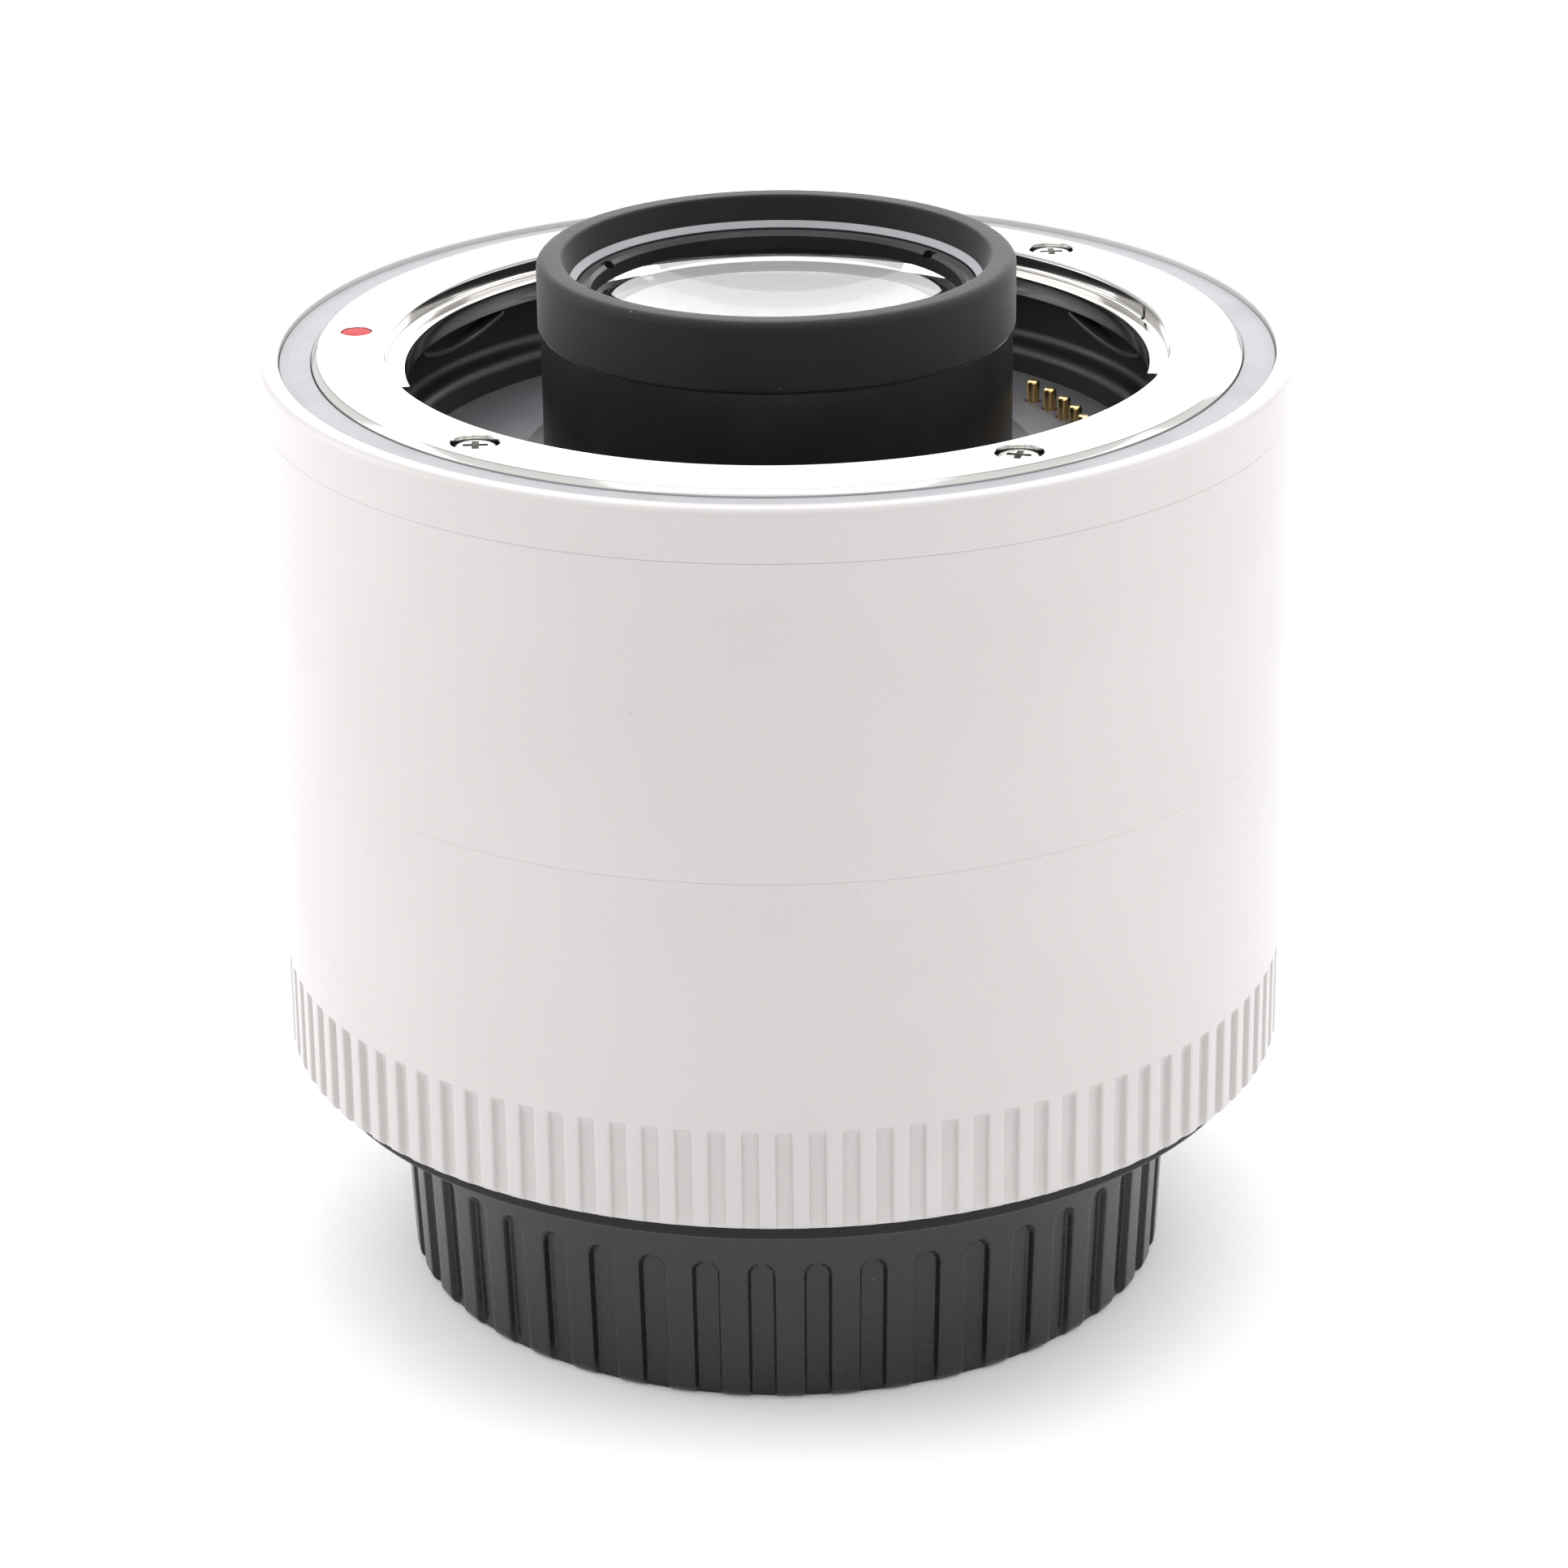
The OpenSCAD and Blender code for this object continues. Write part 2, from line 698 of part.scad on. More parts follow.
module contact_springs() {
    color("goldenrod")
        for (i = [1 : pin_count])
            rotate([0, 0, pin_angle(i)])
                translate([pin_r, 0, 0])
                    ring(pin_tail_r + fit, pin_collar_r, z_pin_seat, z_pin_collar);
}

// Contact pin i: domed tip, collar that stops it under the floor, and tail inside its spring
module contact_pin(i) {
    dome = pin_d / 2;
    color("gold") {
        post(pin_r, pin_angle(i), pin_d / 2, z_pin_collar + pin_collar_h / 2, z_pin_tip - dome);
        rotate([0, 0, pin_angle(i)]) translate([pin_r, 0, z_pin_tip - dome]) sphere(r = dome);
        post(pin_r, pin_angle(i), pin_collar_r, z_pin_collar, z_pin_collar + pin_collar_h);
        post(pin_r, pin_angle(i), pin_tail_r, z_pin_end, z_pin_collar + fit);
    }
}

module contact_flex() {
    r = pin_r + pin_bore_r + block_wall;
    color("orange")
        sector(r, r + flex_t, z_board + board_t, z_under - over, contact_angle, turn(flex_w, r));
}

module circuit_board() {
    color("darkgreen")
        difference() {
            ring(cell_r + slide_gap, chassis_in_r - slide_gap, z_board, z_board + board_t);
            for (i = [0 : rear_contact_count - 1])
                post(rear_contact_r, rear_contact_angle(i), rear_tail_r + fit, z_board - over,
                     z_board + board_t + over);
        }
}

module rear_contact_block() {
    color("black")
        difference() {
            sector(rear_block_in_r, rear_block_r, z_rear_block, z_rear_block + rear_block_h, contact_angle,
                   block_span_rear);
            for (i = [0 : rear_contact_count - 1])
                post(rear_contact_r, rear_contact_angle(i), rear_contact_d / 2 + fit, z_rear_block - over,
                     z_rear_block + rear_block_h + over);
        }
}

module rear_contacts() {
    color("gold")
        for (i = [0 : rear_contact_count - 1]) {
            post(rear_contact_r, rear_contact_angle(i), rear_contact_d / 2, z_rear_block,
                 z_rear_block + rear_block_h);
            post(rear_contact_r, rear_contact_angle(i), rear_tail_r, z_rear_block + rear_block_h - fit,
                 z_board + board_t);
        }
}

module nose_barrel() {
    edge = 0.2;
    color("black")
        rotate_extrude()
            polygon([[front_clear_r, z_collar - spigot_h], [spigot_r, z_collar - spigot_h],
                     [spigot_r, z_collar], [nose_r, z_collar], [nose_r, z_bumper - edge],
                     [nose_r - edge, z_bumper], [bumper_seat_r, z_bumper], [bumper_seat_r, z_nose_rim],
                     [nose_bore_r + nose_chamfer, z_nose_rim], [nose_bore_r, z_nose_rim - nose_chamfer],
                     [nose_bore_r, z_group_1], [front_clear_r, z_group_1]]);
}

module nose_bumper() {
    color("black")
        rotate_extrude()
            polygon(concat(
                [[bumper_seat_r + fit, z_bumper], [bumper_r, z_bumper]],
                arc([bumper_r - bumper_edge, z_tip - bumper_edge], bumper_edge, 0, 90),
                [[bumper_bore_r + bumper_flare, z_tip], [bumper_bore_r, z_nose_rim],
                 [bumper_seat_r + fit, z_nose_rim]]));
}

// Threaded ring from z0 up, with two spanner slots on the side named by dir
module retainer(r_in, r_out, z0, dir) {
    slot_w = 1.2;
    slot_depth = 0.5;
    difference() {
        ring(r_in, r_out, z0, z0 + retainer_h);
        translate([-r_out - over, -slot_w / 2, dir > 0 ? z0 + retainer_h - slot_depth : z0 - over])
            cube([2 * (r_out + over), slot_w, slot_depth + over]);
    }
}

module front_retainer() {
    color("dimgray") retainer(front_clear_r, front_glass_r, z_front_seat, 1);
}

// Part of a sphere that rises by h over aperture a at height z, or drops where h is below 0
module bulge(h, a, z) {
    r = curve_r(h, a);
    intersection() {
        translate([0, 0, h > 0 ? z + h - r : z + h + r]) sphere(r = r, $fn = fine);
        translate([0, 0, h > 0 ? z - over : z - r]) cylinder(r = a + over, h = r + over);
    }
}

// Glass between seats at z0 and z1, whose lower and upper surfaces rise by low and high in the middle
module glass(z0, z1, r, a, low, high) {
    difference() {
        union() {
            translate([0, 0, z0]) cylinder(r = r, h = z1 - z0);
            if (high > 0) bulge(high, a, z1);
            if (low < 0) bulge(low, a, z0);
        }
        if (high < 0)
            translate([0, 0, z1 + high + curve_r(high, a)]) sphere(r = curve_r(high, a), $fn = fine);
        if (low > 0)
            translate([0, 0, z0 + low - curve_r(low, a)]) sphere(r = curve_r(low, a), $fn = fine);
    }
}

module lens_group_1() {
    z_bond = z_group_1 + group_1_h * 0.45;
    color("lightblue", 0.5) {
        glass(z_bond, z_front_seat, front_glass_r, front_clear_r, rise_1b, rise_1a);
        glass(z_group_1, z_bond - fit, front_glass_r, front_clear_r, rise_1c, rise_1b);
    }
}

module lens_group_2() {
    z_bond = z_group_2 + group_2_h * 0.6;
    color("lightblue", 0.5) {
        glass(z_bond, z_group_2 + group_2_h, glass_r, clear_r, rise_2b, rise_2a);
        glass(z_group_2, z_bond - fit, glass_r, clear_r, rise_2c, rise_2b);
    }
}

module lens_group_3() {
    z_low = z_group_3 + group_3_h * 0.3;
    z_high = z_group_3 + group_3_h * 0.7;
    color("lightblue", 0.5) {
        glass(z_high, z_group_3 + group_3_h, glass_r, clear_r, rise_3b, rise_3a);
        glass(z_low, z_high - fit, glass_r, clear_r, rise_3c, rise_3b);
        glass(z_group_3, z_low - fit, glass_r, clear_r, rise_3d, rise_3c);
    }
}

module lens_group_4() {
    color("lightblue", 0.5)
        glass(z_group_4, z_group_4 + group_4_h, glass_r, clear_r, rise_4b, rise_4a);
}

module lens_group_5() {
    z_bond = z_group_5 + group_5_h * 0.5;
    color("lightblue", 0.5) {
        glass(z_bond, z_group_5 + group_5_h, glass_r, clear_r, rise_5b, rise_5a);
        glass(z_group_5, z_bond - fit, glass_r, clear_r, rise_5c, rise_5b);
    }
}

module lens_spacers() {
    color("black")
        for (span = [[z_spacer_1, spacer_1_h], [z_spacer_2, spacer_2_h], [z_spacer_3, spacer_3_h]])
            ring(clear_r, glass_r, span[0], span[0] + span[1]);
}

module lens_cell() {
    z_top = z_seat + cell_flange_t;
    color("dimgray")
        difference() {
            union() {
                rotate_extrude()
                    polygon([[cell_bore_r, z_cell], [cell_r, z_cell], [cell_r, z_seat],
                             [chassis_in_r - fit, z_seat], [chassis_in_r - fit, z_top], [cell_r, z_top],
                             [cell_r, z_collar], [spigot_r + fit, z_collar], [spigot_r + fit, z_lip],
                             [clear_r, z_lip], [clear_r, z_lip - cell_lip_t],
                             [cell_bore_r, z_lip - cell_lip_t]]);
                for (a = cell_screw_angles)
                    post(board_post_r, a + board_post_turn, board_post_d / 2,
                         z_top - over, z_board);
            }
            for (a = cell_screw_angles)
                post(camera_screw_r, a, screw_d / 2 + fit, z_seat - over, z_top + over);
            sector(rear_contact_r - 2 * rear_tail_r, rear_contact_r + 2 * rear_tail_r, z_seat - over,
                   z_top + over, contact_angle, rear_contact_span);
        }
}

module cell_screws() {
    color("silver")
        for (a = cell_screw_angles)
            screw(camera_screw_r, a, z_seat + cell_flange_t + screw_head_h, screw_head_d, screw_head_h,
                  screw_d, screw_head_h + cell_flange_t + cell_screw_bite);
}

module rear_retainer() {
    color("black") retainer(clear_r, glass_r, z_rear_retainer, -1);
}

module rear_baffle() {
    window_r = clear_r + slide_gap;
    hood_r = window_r + baffle_hood_t;
    shade_r = (cell_r + glass_r) / 2;
    color("black")
        difference() {
            rotate_extrude()
                polygon([[window_r, z_baffle - baffle_hood], [hood_r, z_baffle - baffle_hood],
                         [hood_r + baffle_t, z_baffle], [neck_in_r - fit, z_baffle],
                         [neck_in_r - fit, z_baffle + baffle_t], [shade_r + baffle_t, z_baffle + baffle_t],
                         [shade_r + baffle_t, z_cell - fit], [shade_r, z_cell - fit],
                         [shade_r, z_baffle + baffle_t], [window_r, z_baffle + baffle_t]]);
            sector(rear_block_in_r - slide_gap, neck_in_r + over, z_baffle - over, z_baffle + baffle_t + over,
                   contact_angle, block_span_rear + 2);
        }
}

module camera_mount_ring() {
    color("silver")
        difference() {
            union() {
                ring(neck_in_r, camera_ring_r, z_flange, z_shell);
                ring(neck_in_r, neck_r, z_neck, z_flange + over);
                for (i = [0 : len(tab_angles) - 1])
                    sector(neck_r - neck_wall / 2, tab_r, z_neck, z_neck + tab_t, tab_angles[i],
                           tab_spans[i]);
            }
            for (a = camera_screw_angles) {
                post(camera_screw_r, a, screw_d / 2 + fit, z_flange - over, z_shell + over);
                post(camera_screw_r, a, screw_head_d / 2 + slide_gap, z_flange - over,
                     z_flange + screw_head_h + slide_gap);
            }
            post(lock_r, release_angle, lock_pin_d / 2 + slide_gap, z_flange - over,
                 z_flange + camera_lock_depth);
        }
}

module camera_mount_screws() {
    color("silver")
        for (a = camera_screw_angles)
            screw(camera_screw_r, a, z_flange + slide_gap, screw_head_d, screw_head_h, screw_d,
                  mount_screw_len, -1);
}

module mount_seal() {
    color("black") ring(camera_ring_r + fit, seal_r, z_shell - seal_h, z_shell);
}

// One flat-bottomed flute with a round top
module flute() {
    z_round = cap_h - flute_top - flute_w / 2;
    translate([cap_base_r - flute_depth, 0, 0])
        rotate([0, atan(cap_draft / cap_h), 0]) {
            translate([0, -flute_w / 2, -over]) cube([flute_depth + over, flute_w, z_round + over]);
            translate([0, 0, z_round]) rotate([0, 90, 0]) cylinder(d = flute_w, h = flute_depth + over);
        }
}

module rear_cap() {
    color("dimgray") {
        difference() {
            rotate_extrude()
                polygon(concat(
                    [[0, 0]],
                    arc([cap_base_r - cap_edge, cap_edge], cap_edge, -90, 0),
                    [[cap_r, cap_h], [cap_bore_r, cap_h], [cap_bore_r, z_mouth], [cap_well_r, z_mouth],
                     [cap_well_r, cap_floor], [0, cap_floor]]));
            for (i = [0 : flute_count - 1])
                rotate([0, 0, i * 360 / flute_count]) flute();
        }
        for (a = lug_angles)
            sector(lug_r, cap_bore_r + lug_root, z_lug, z_lug + lug_h, a, lug_span);
    }
}

module release_lever() {
    color("black") {
        sector(slide_in_r, slide_r, z_slide, z_slide + slide_h, release_angle, slide_span);
        for (i = [0 : ridge_count - 1]) {
            z_ridge = z_slide + slide_h * (i + 0.5) / ridge_count;
            sector(slide_r - fit, slide_r + ridge_t, z_ridge - ridge_h / 2, z_ridge + ridge_h / 2,
                   release_angle, slide_span - 2 * ridge_t);
        }
        difference() {
            rotate([0, 0, release_angle])
                translate([arm_r, -stem_w / 2, z_stem])
                    cube([slide_r - fit - arm_r, stem_w, stem_h]);
            post(lock_r, release_angle, lock_pin_d / 2 + fit, z_stem - over, z_stem + stem_h + over);
        }
    }
}

module lever_bracket() {
    color("silver")
        difference() {
            rotate([0, 0, release_angle])
                translate([arm_in_r, -bracket_w / 2, z_stem])
                    cube([arm_r - arm_in_r, bracket_w, stem_h]);
            post(lock_r, release_angle, lock_pin_d / 2 + fit, z_stem - over, z_stem + stem_h + over);
        }
}

module lock_pin() {
    tip = 0.4;
    color("silver")
        rotate([0, 0, release_angle])
            translate([lock_r, 0, 0])
                rotate_extrude()
                    polygon([[0, z_lock_end], [lock_pin_d / 2, z_lock_end],
                             [lock_pin_d / 2, z_lock_tip - tip], [lock_pin_d / 2 - tip, z_lock_tip],
                             [0, z_lock_tip]]);
}

// Wire centre of the return spring after t turns
function wire_point(t, r, z0, pitch) = [r * cos(360 * t), r * sin(360 * t), z0 + pitch * t];

// Point k of the wire's outline about a centre p at turn t
function wire_rim(p, t, k, sides) =
    p + spring_wire / 2 * [cos(360 * k / sides) * cos(360 * t), cos(360 * k / sides) * sin(360 * t),
                           sin(360 * k / sides)];

module lock_spring() {
    sides = 6;
    steps = 12;
    rings = spring_turns * steps;
    z0 = z_guide + spring_wire / 2 + fit;
    pitch = (spring_h - spring_wire - 2 * fit) / spring_turns;
    points = [for (i = [0 : rings], k = [0 : sides - 1])
        wire_rim(wire_point(i / steps, coil_r, z0, pitch), i / steps, k, sides)];
    walls = [for (i = [0 : rings - 1], k = [0 : sides - 1])
        let (a = i * sides + k, b = i * sides + (k + 1) % sides)
        each [[a, a + sides, b], [b, a + sides, b + sides]]];
    start = [for (k = [1 : sides - 2]) [0, k, k + 1]];
    end = [for (k = [1 : sides - 2]) [rings * sides, rings * sides + k + 1, rings * sides + k]];
    color("gray")
        rotate([0, 0, release_angle]) translate([lock_r, 0, 0])
            polyhedron(points, concat(walls, start, end));
}

module lever_guide() {
    color("black")
        difference() {
            intersection() {
                rotate([0, 0, release_angle])
                    translate([arm_in_r, -guide_w / 2, z_guide - guide_h])
                        cube([chassis_r - arm_in_r, guide_w, guide_h]);
                translate([0, 0, z_guide - guide_h - over])
                    cylinder(r = chassis_in_r - fit, h = guide_h + 2 * over);
            }
            post(lock_r, release_angle, lock_pin_d / 2 + run_gap, z_guide - guide_h - over, z_guide + over);
        }
}

rear_cap();
camera_mount_ring();
camera_mount_screws();
mount_seal();
rear_barrel();
main_barrel();
front_ring();
trim_ring();
lens_mount_ring();
lens_mount_screws();
lens_index_dot();
camera_index_dot();
mount_springs();
bayonet_well();
floor_plate();
front_frame();
frame_screws();
chassis();
contact_block();
contact_springs();
contact_flex();
circuit_board();
rear_contact_block();
rear_contacts();
nose_barrel();
nose_bumper();
front_retainer();
lens_group_1();
lens_group_2();
lens_group_3();
lens_group_4();
lens_group_5();
lens_spacers();
lens_cell();
cell_screws();
rear_retainer();
rear_baffle();
release_lever();
lever_bracket();
lock_pin();
lock_spring();
lever_guide();
for (i = [1 : pin_count])
    contact_pin(i);
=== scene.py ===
"""Looks of a white camera teleconverter that stands on its rear cap.

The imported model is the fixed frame. Pieces are modelled in millimetres, in the model's own frame, and scaled to
metres when they are finished. The optical axis is Z, the index marks lie at 180 degrees and the release at 90.
"""

import logging
import math
from dataclasses import dataclass, field
from enum import Enum
from typing import Any, Callable, Iterable, Mapping, Sequence

import bmesh
import bpy
from mathutils import Matrix, Vector


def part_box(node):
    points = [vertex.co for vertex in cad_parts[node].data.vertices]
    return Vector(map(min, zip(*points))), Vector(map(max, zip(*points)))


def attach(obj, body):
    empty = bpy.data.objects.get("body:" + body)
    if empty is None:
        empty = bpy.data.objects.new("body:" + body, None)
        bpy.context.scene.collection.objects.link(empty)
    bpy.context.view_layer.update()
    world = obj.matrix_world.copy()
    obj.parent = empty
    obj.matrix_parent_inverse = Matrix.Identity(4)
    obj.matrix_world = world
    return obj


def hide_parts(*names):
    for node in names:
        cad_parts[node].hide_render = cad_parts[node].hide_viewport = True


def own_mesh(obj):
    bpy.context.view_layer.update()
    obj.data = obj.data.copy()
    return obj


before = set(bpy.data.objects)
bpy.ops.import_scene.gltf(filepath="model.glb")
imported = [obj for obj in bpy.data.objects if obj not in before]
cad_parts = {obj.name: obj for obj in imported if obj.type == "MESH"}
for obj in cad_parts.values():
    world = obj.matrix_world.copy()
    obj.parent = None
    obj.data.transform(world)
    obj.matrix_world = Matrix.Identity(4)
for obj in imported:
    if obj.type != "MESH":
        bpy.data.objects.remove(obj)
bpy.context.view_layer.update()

LOG = logging.getLogger("teleconverter")
MM = 0.001
AXIS = (0.0, 0.0, 0.0)
SEEN_RAYS = ("Is Camera Ray", "Is Glossy Ray", "Is Transmission Ray")

Point = tuple[float, float]
Corner = tuple[float, ...]
Colour = tuple[float, float, float]


class Body(str, Enum):
    """Bodies of the frame on which pieces ride."""

    BARREL = "barrel"
    RELEASE = "release"
    CAP = "cap"


class Slot(str, Enum):
    """Material slots of the record."""

    WHITE_PAINT = "white_paint"
    GREY_SATIN = "grey_satin"
    BRIGHT_PLATE = "bright_plate"
    SCREW_STEEL = "screw_steel"
    RED_PAINT = "red_paint"
    DARK_SPRING = "dark_spring"
    BLACK_PLASTIC = "black_plastic"
    FLOOR_GREY = "floor_grey"
    BLACK_METAL = "black_metal"
    RUBBER = "rubber"
    GOLD = "gold"
    FLEX_FILM = "flex_film"
    BOARD = "board"
    GLASS = "glass"
    CAP_PLASTIC = "cap_plastic"


# Modelling


def deselect_all() -> None:
    """Leaves edit mode and selects nothing."""
    if bpy.context.mode != "OBJECT":
        bpy.ops.object.mode_set(mode="OBJECT")
    bpy.ops.object.select_all(action="DESELECT")


def select_only(piece: bpy.types.Object) -> None:
    """Makes one piece the only selected and the active one."""
    deselect_all()
    piece.select_set(True)
    bpy.context.view_layer.objects.active = piece


def settle(name: str) -> bpy.types.Object:
    """Puts the new primitive's place into its mesh and names it."""
    piece = bpy.context.object
    piece.name = name
    bpy.ops.object.transform_apply(location=True, rotation=True, scale=True)
    return piece


def block(name: str, middle: Sequence[float], size: Sequence[float], turn: float = 0.0) -> bpy.types.Object:
    """Makes a box.

    Args:
        name: Name of the piece.
        middle: Its middle.
        size: Its lengths along the axes.
        turn: Angle about its upright axis in degrees.

    Returns:
        The piece.
    """
    deselect_all()
    bpy.ops.mesh.primitive_cube_add(size=1, location=middle, rotation=(0, 0, math.radians(turn)))
    bpy.context.object.scale = size
    return settle(name)


def close_up(fill: bool = False) -> None:
    """Merges points that coincide, turns the faces outwards and leaves edit mode.

    Args:
        fill: Whether open ends are closed as well.
    """
    bpy.ops.mesh.select_all(action="SELECT")
    bpy.ops.mesh.remove_doubles(threshold=0.0005)
    if fill:
        bpy.ops.mesh.fill_holes(sides=0)
    bpy.ops.mesh.normals_make_consistent(inside=False)
    bpy.ops.object.mode_set(mode="OBJECT")


def rounded(corners: Sequence[Corner], steps: int = 4, closed: bool = True) -> list[Point]:
    """Rounds the corners of an outline.

    Args:
        corners: Radius, height and, where a corner is rounded, its fillet.
        steps: Facets of a fillet.
        closed: Whether the last corner joins the first.

    Returns:
        Points of the outline as radius and height.
    """
    points: list[Point] = []
    count = len(corners)
    for i, corner in enumerate(corners):
        r, z = corner[0], corner[1]
        fillet = corner[2] if len(corner) > 2 else 0.0
        if fillet == 0.0 or (not closed and i in (0, count - 1)):
            points.append((r, z))
            continue
        before, after = corners[i - 1], corners[(i + 1) % count]
        ends = []
        for other in (before, after):
            length = math.hypot(other[0] - r, other[1] - z)
            ends.append(((other[0] - r) / length, (other[1] - z) / length, length))
        (ux, uz, ul), (vx, vz, vl) = ends
        half = math.acos(max(-1.0, min(1.0, ux * vx + uz * vz))) / 2
        reach = min(fillet / math.tan(half), 0.49 * ul, 0.49 * vl)
        radius = reach * math.tan(half)
        mid = math.hypot(ux + vx, uz + vz)
        centre = (r + (ux + vx) / mid * radius / math.sin(half), z + (uz + vz) / mid * radius / math.sin(half))
        start = math.atan2(z + uz * reach - centre[1], r + ux * reach - centre[0])
        stop = math.atan2(z + vz * reach - centre[1], r + vx * reach - centre[0])
        sweep = (stop - start + math.pi) % (2 * math.pi) - math.pi
        for k in range(steps + 1):
            a = start + sweep * k / steps
            points.append((centre[0] + radius * math.cos(a), centre[1] + radius * math.sin(a)))
    return points


class Turning:
    """A piece turned about the axis: a circle that is extruded along an outline."""

    def __init__(self, name: str, outline: Sequence[Point], columns: int = 256,
                 angles: Sequence[float] | None = None) -> None:
        """Extrudes the circle along the outline.

        Args:
            name: Name of the piece.
            outline: Points of a closed outline, or of one that starts and ends on the axis.
            columns: Points round the circle, if they are evenly spaced.
            angles: Directions of the columns in degrees, from 90 upwards, if they aren't.
        """
        self.solid = outline[0][0] == 0.0
        self.outline = list(outline[1:-1] if self.solid else outline)
        self.angles = list(angles) if angles else [90.0 + 360.0 * k / columns for k in range(columns)]
        self.columns = len(self.angles)
        deselect_all()
        radius, height = self.outline[0]
        bpy.ops.mesh.primitive_circle_add(vertices=self.columns, radius=radius, location=(0, 0, height))
        self.piece = settle(name)
        bpy.ops.object.mode_set(mode="EDIT")
        bpy.context.tool_settings.mesh_select_mode = (True, False, False)
        if angles:
            self._space_columns()
        bpy.ops.mesh.select_all(action="SELECT")
        rows = self.outline if self.solid else self.outline + self.outline[:1]
        for (r0, z0), (r1, z1) in zip(rows, rows[1:]):
            bpy.ops.mesh.extrude_edges_move(TRANSFORM_OT_translate={"value": (0, 0, z1 - z0)})
            bpy.ops.transform.resize(value=(r1 / r0, r1 / r0, 1), center_override=AXIS)
        self.poles = (outline[0][1], outline[-1][1])

    def _space_columns(self) -> None:
        """Turns the points of the start circle to their directions."""
        shifts: dict[float, list[int]] = {}
        for k, angle in enumerate(self.angles):
            shifts.setdefault(round(angle - 90.0 - 360.0 * k / self.columns, 6), []).append(k)
        for shift, columns in shifts.items():
            if shift:
                self.pick([0], columns)
                bpy.ops.transform.rotate(value=-math.radians(shift), orient_axis="Z", center_override=AXIS)

    def pick(self, rows: Iterable[int], columns: Iterable[int] | None = None) -> None:
        """Selects points of the turned piece.

        Args:
            rows: Rows along the outline.
            columns: Columns round the axis, or None for all.
        """
        bpy.ops.mesh.select_all(action="DESELECT")
        mesh = bmesh.from_edit_mesh(self.piece.data)
        mesh.verts.ensure_lookup_table()
        chosen = list(range(self.columns) if columns is None else columns)
        for row in rows:
            for column in chosen:
                mesh.verts[row * self.columns + column].select = True
        mesh.select_flush_mode()

    def place(self, row: int, columns: Iterable[int], radius: float, height: float) -> None:
        """Moves part of a row to another radius and height.

        Args:
            row: Row along the outline.
            columns: Columns that move.
            radius: New radius.
            height: New height.
        """
        r, z = self.outline[row]
        if abs(radius - r) < 1e-6 and abs(height - z) < 1e-6:
            return
        self.pick([row] if row or self.solid else [row, len(self.outline)], columns)
        bpy.ops.transform.resize(value=(radius / r, radius / r, 1), center_override=AXIS)
        bpy.ops.transform.translate(value=(0, 0, height - z))

    def done(self) -> bpy.types.Object:
        """Closes the piece and turns its faces outwards.

        Returns:
            The piece, in object mode.
        """
        if self.solid:
            for row, pole in ((0, self.poles[0]), (len(self.outline) - 1, self.poles[1])):
                self.pick([row])
                bpy.ops.mesh.extrude_edges_move(
                    TRANSFORM_OT_translate={"value": (0, 0, pole - self.outline[row][1])})
                bpy.ops.mesh.merge(type="CENTER")
        close_up()
        return self.piece


def turned(name: str, corners: Sequence[Corner], columns: int = 256, steps: int = 4) -> bpy.types.Object:
    """Turns a plain ring or solid.

    Args:
        name: Name of the piece.
        corners: Corners of its outline, as for rounded().
        columns: Points round the circle.
        steps: Facets of a fillet.

    Returns:
        The piece.
    """
    return Turning(name, rounded(corners, steps, corners[0][0] != 0.0), columns).done()


def sector(name: str, radii: Point, heights: Point, mid: float, span: float, steps: int) -> bpy.types.Object:
    """Spins a flat section into part of a ring.

    Args:
        name: Name of the piece.
        radii: Inner and outer radius.
        heights: Lower and upper height.
        mid: Direction of its middle in degrees.
        span: Angle that it covers in degrees.
        steps: Facets along the span.

    Returns:
        The piece.
    """
    deselect_all()
    bpy.ops.mesh.primitive_plane_add(size=1, location=(sum(radii) / 2, 0, sum(heights) / 2),
                                     rotation=(math.pi / 2, 0, 0))
    piece = bpy.context.object
    piece.scale = (radii[1] - radii[0], heights[1] - heights[0], 1)
    settle(name)
    bpy.ops.object.mode_set(mode="EDIT")
    bpy.ops.mesh.select_all(action="SELECT")
    bpy.ops.transform.rotate(value=-math.radians(mid - span / 2), orient_axis="Z", center_override=AXIS)
    bpy.ops.mesh.spin(steps=steps, angle=-math.radians(span), center=AXIS, axis=(0, 0, 1))
    close_up()
    return piece


def shift_points(piece: bpy.types.Object, offset: Callable[[float, float, float], float]) -> None:
    """Lifts points of a piece by groups that need the same lift.

    Args:
        piece: The piece.
        offset: Gives a point's lift from its place.
    """
    select_only(piece)
    bpy.ops.object.mode_set(mode="EDIT")
    bpy.context.tool_settings.mesh_select_mode = (True, False, False)
    mesh = bmesh.from_edit_mesh(piece.data)
    mesh.verts.ensure_lookup_table()
    groups: dict[float, list[int]] = {}
    for point in mesh.verts:
        groups.setdefault(round(offset(*point.co), 4), []).append(point.index)
    for lift, points in groups.items():
        if lift:
            bpy.ops.mesh.select_all(action="DESELECT")
            for k in points:
                mesh.verts[k].select = True
            mesh.select_flush_mode()
            bpy.ops.transform.translate(value=(0, 0, lift))
    bpy.ops.object.mode_set(mode="OBJECT")


def apply_modifier(piece: bpy.types.Object, kind: str, settings: Mapping[str, Any]) -> None:
    """Adds a modifier with its settings and applies it.

    Args:
        piece: The piece.
        kind: Type of the modifier.
        settings: Its settings.
    """
    select_only(piece)
    modifier = piece.modifiers.new(kind.lower(), kind)
    for key, value in settings.items():
        setattr(modifier, key, value)
    bpy.ops.object.modifier_apply(modifier=modifier.name)


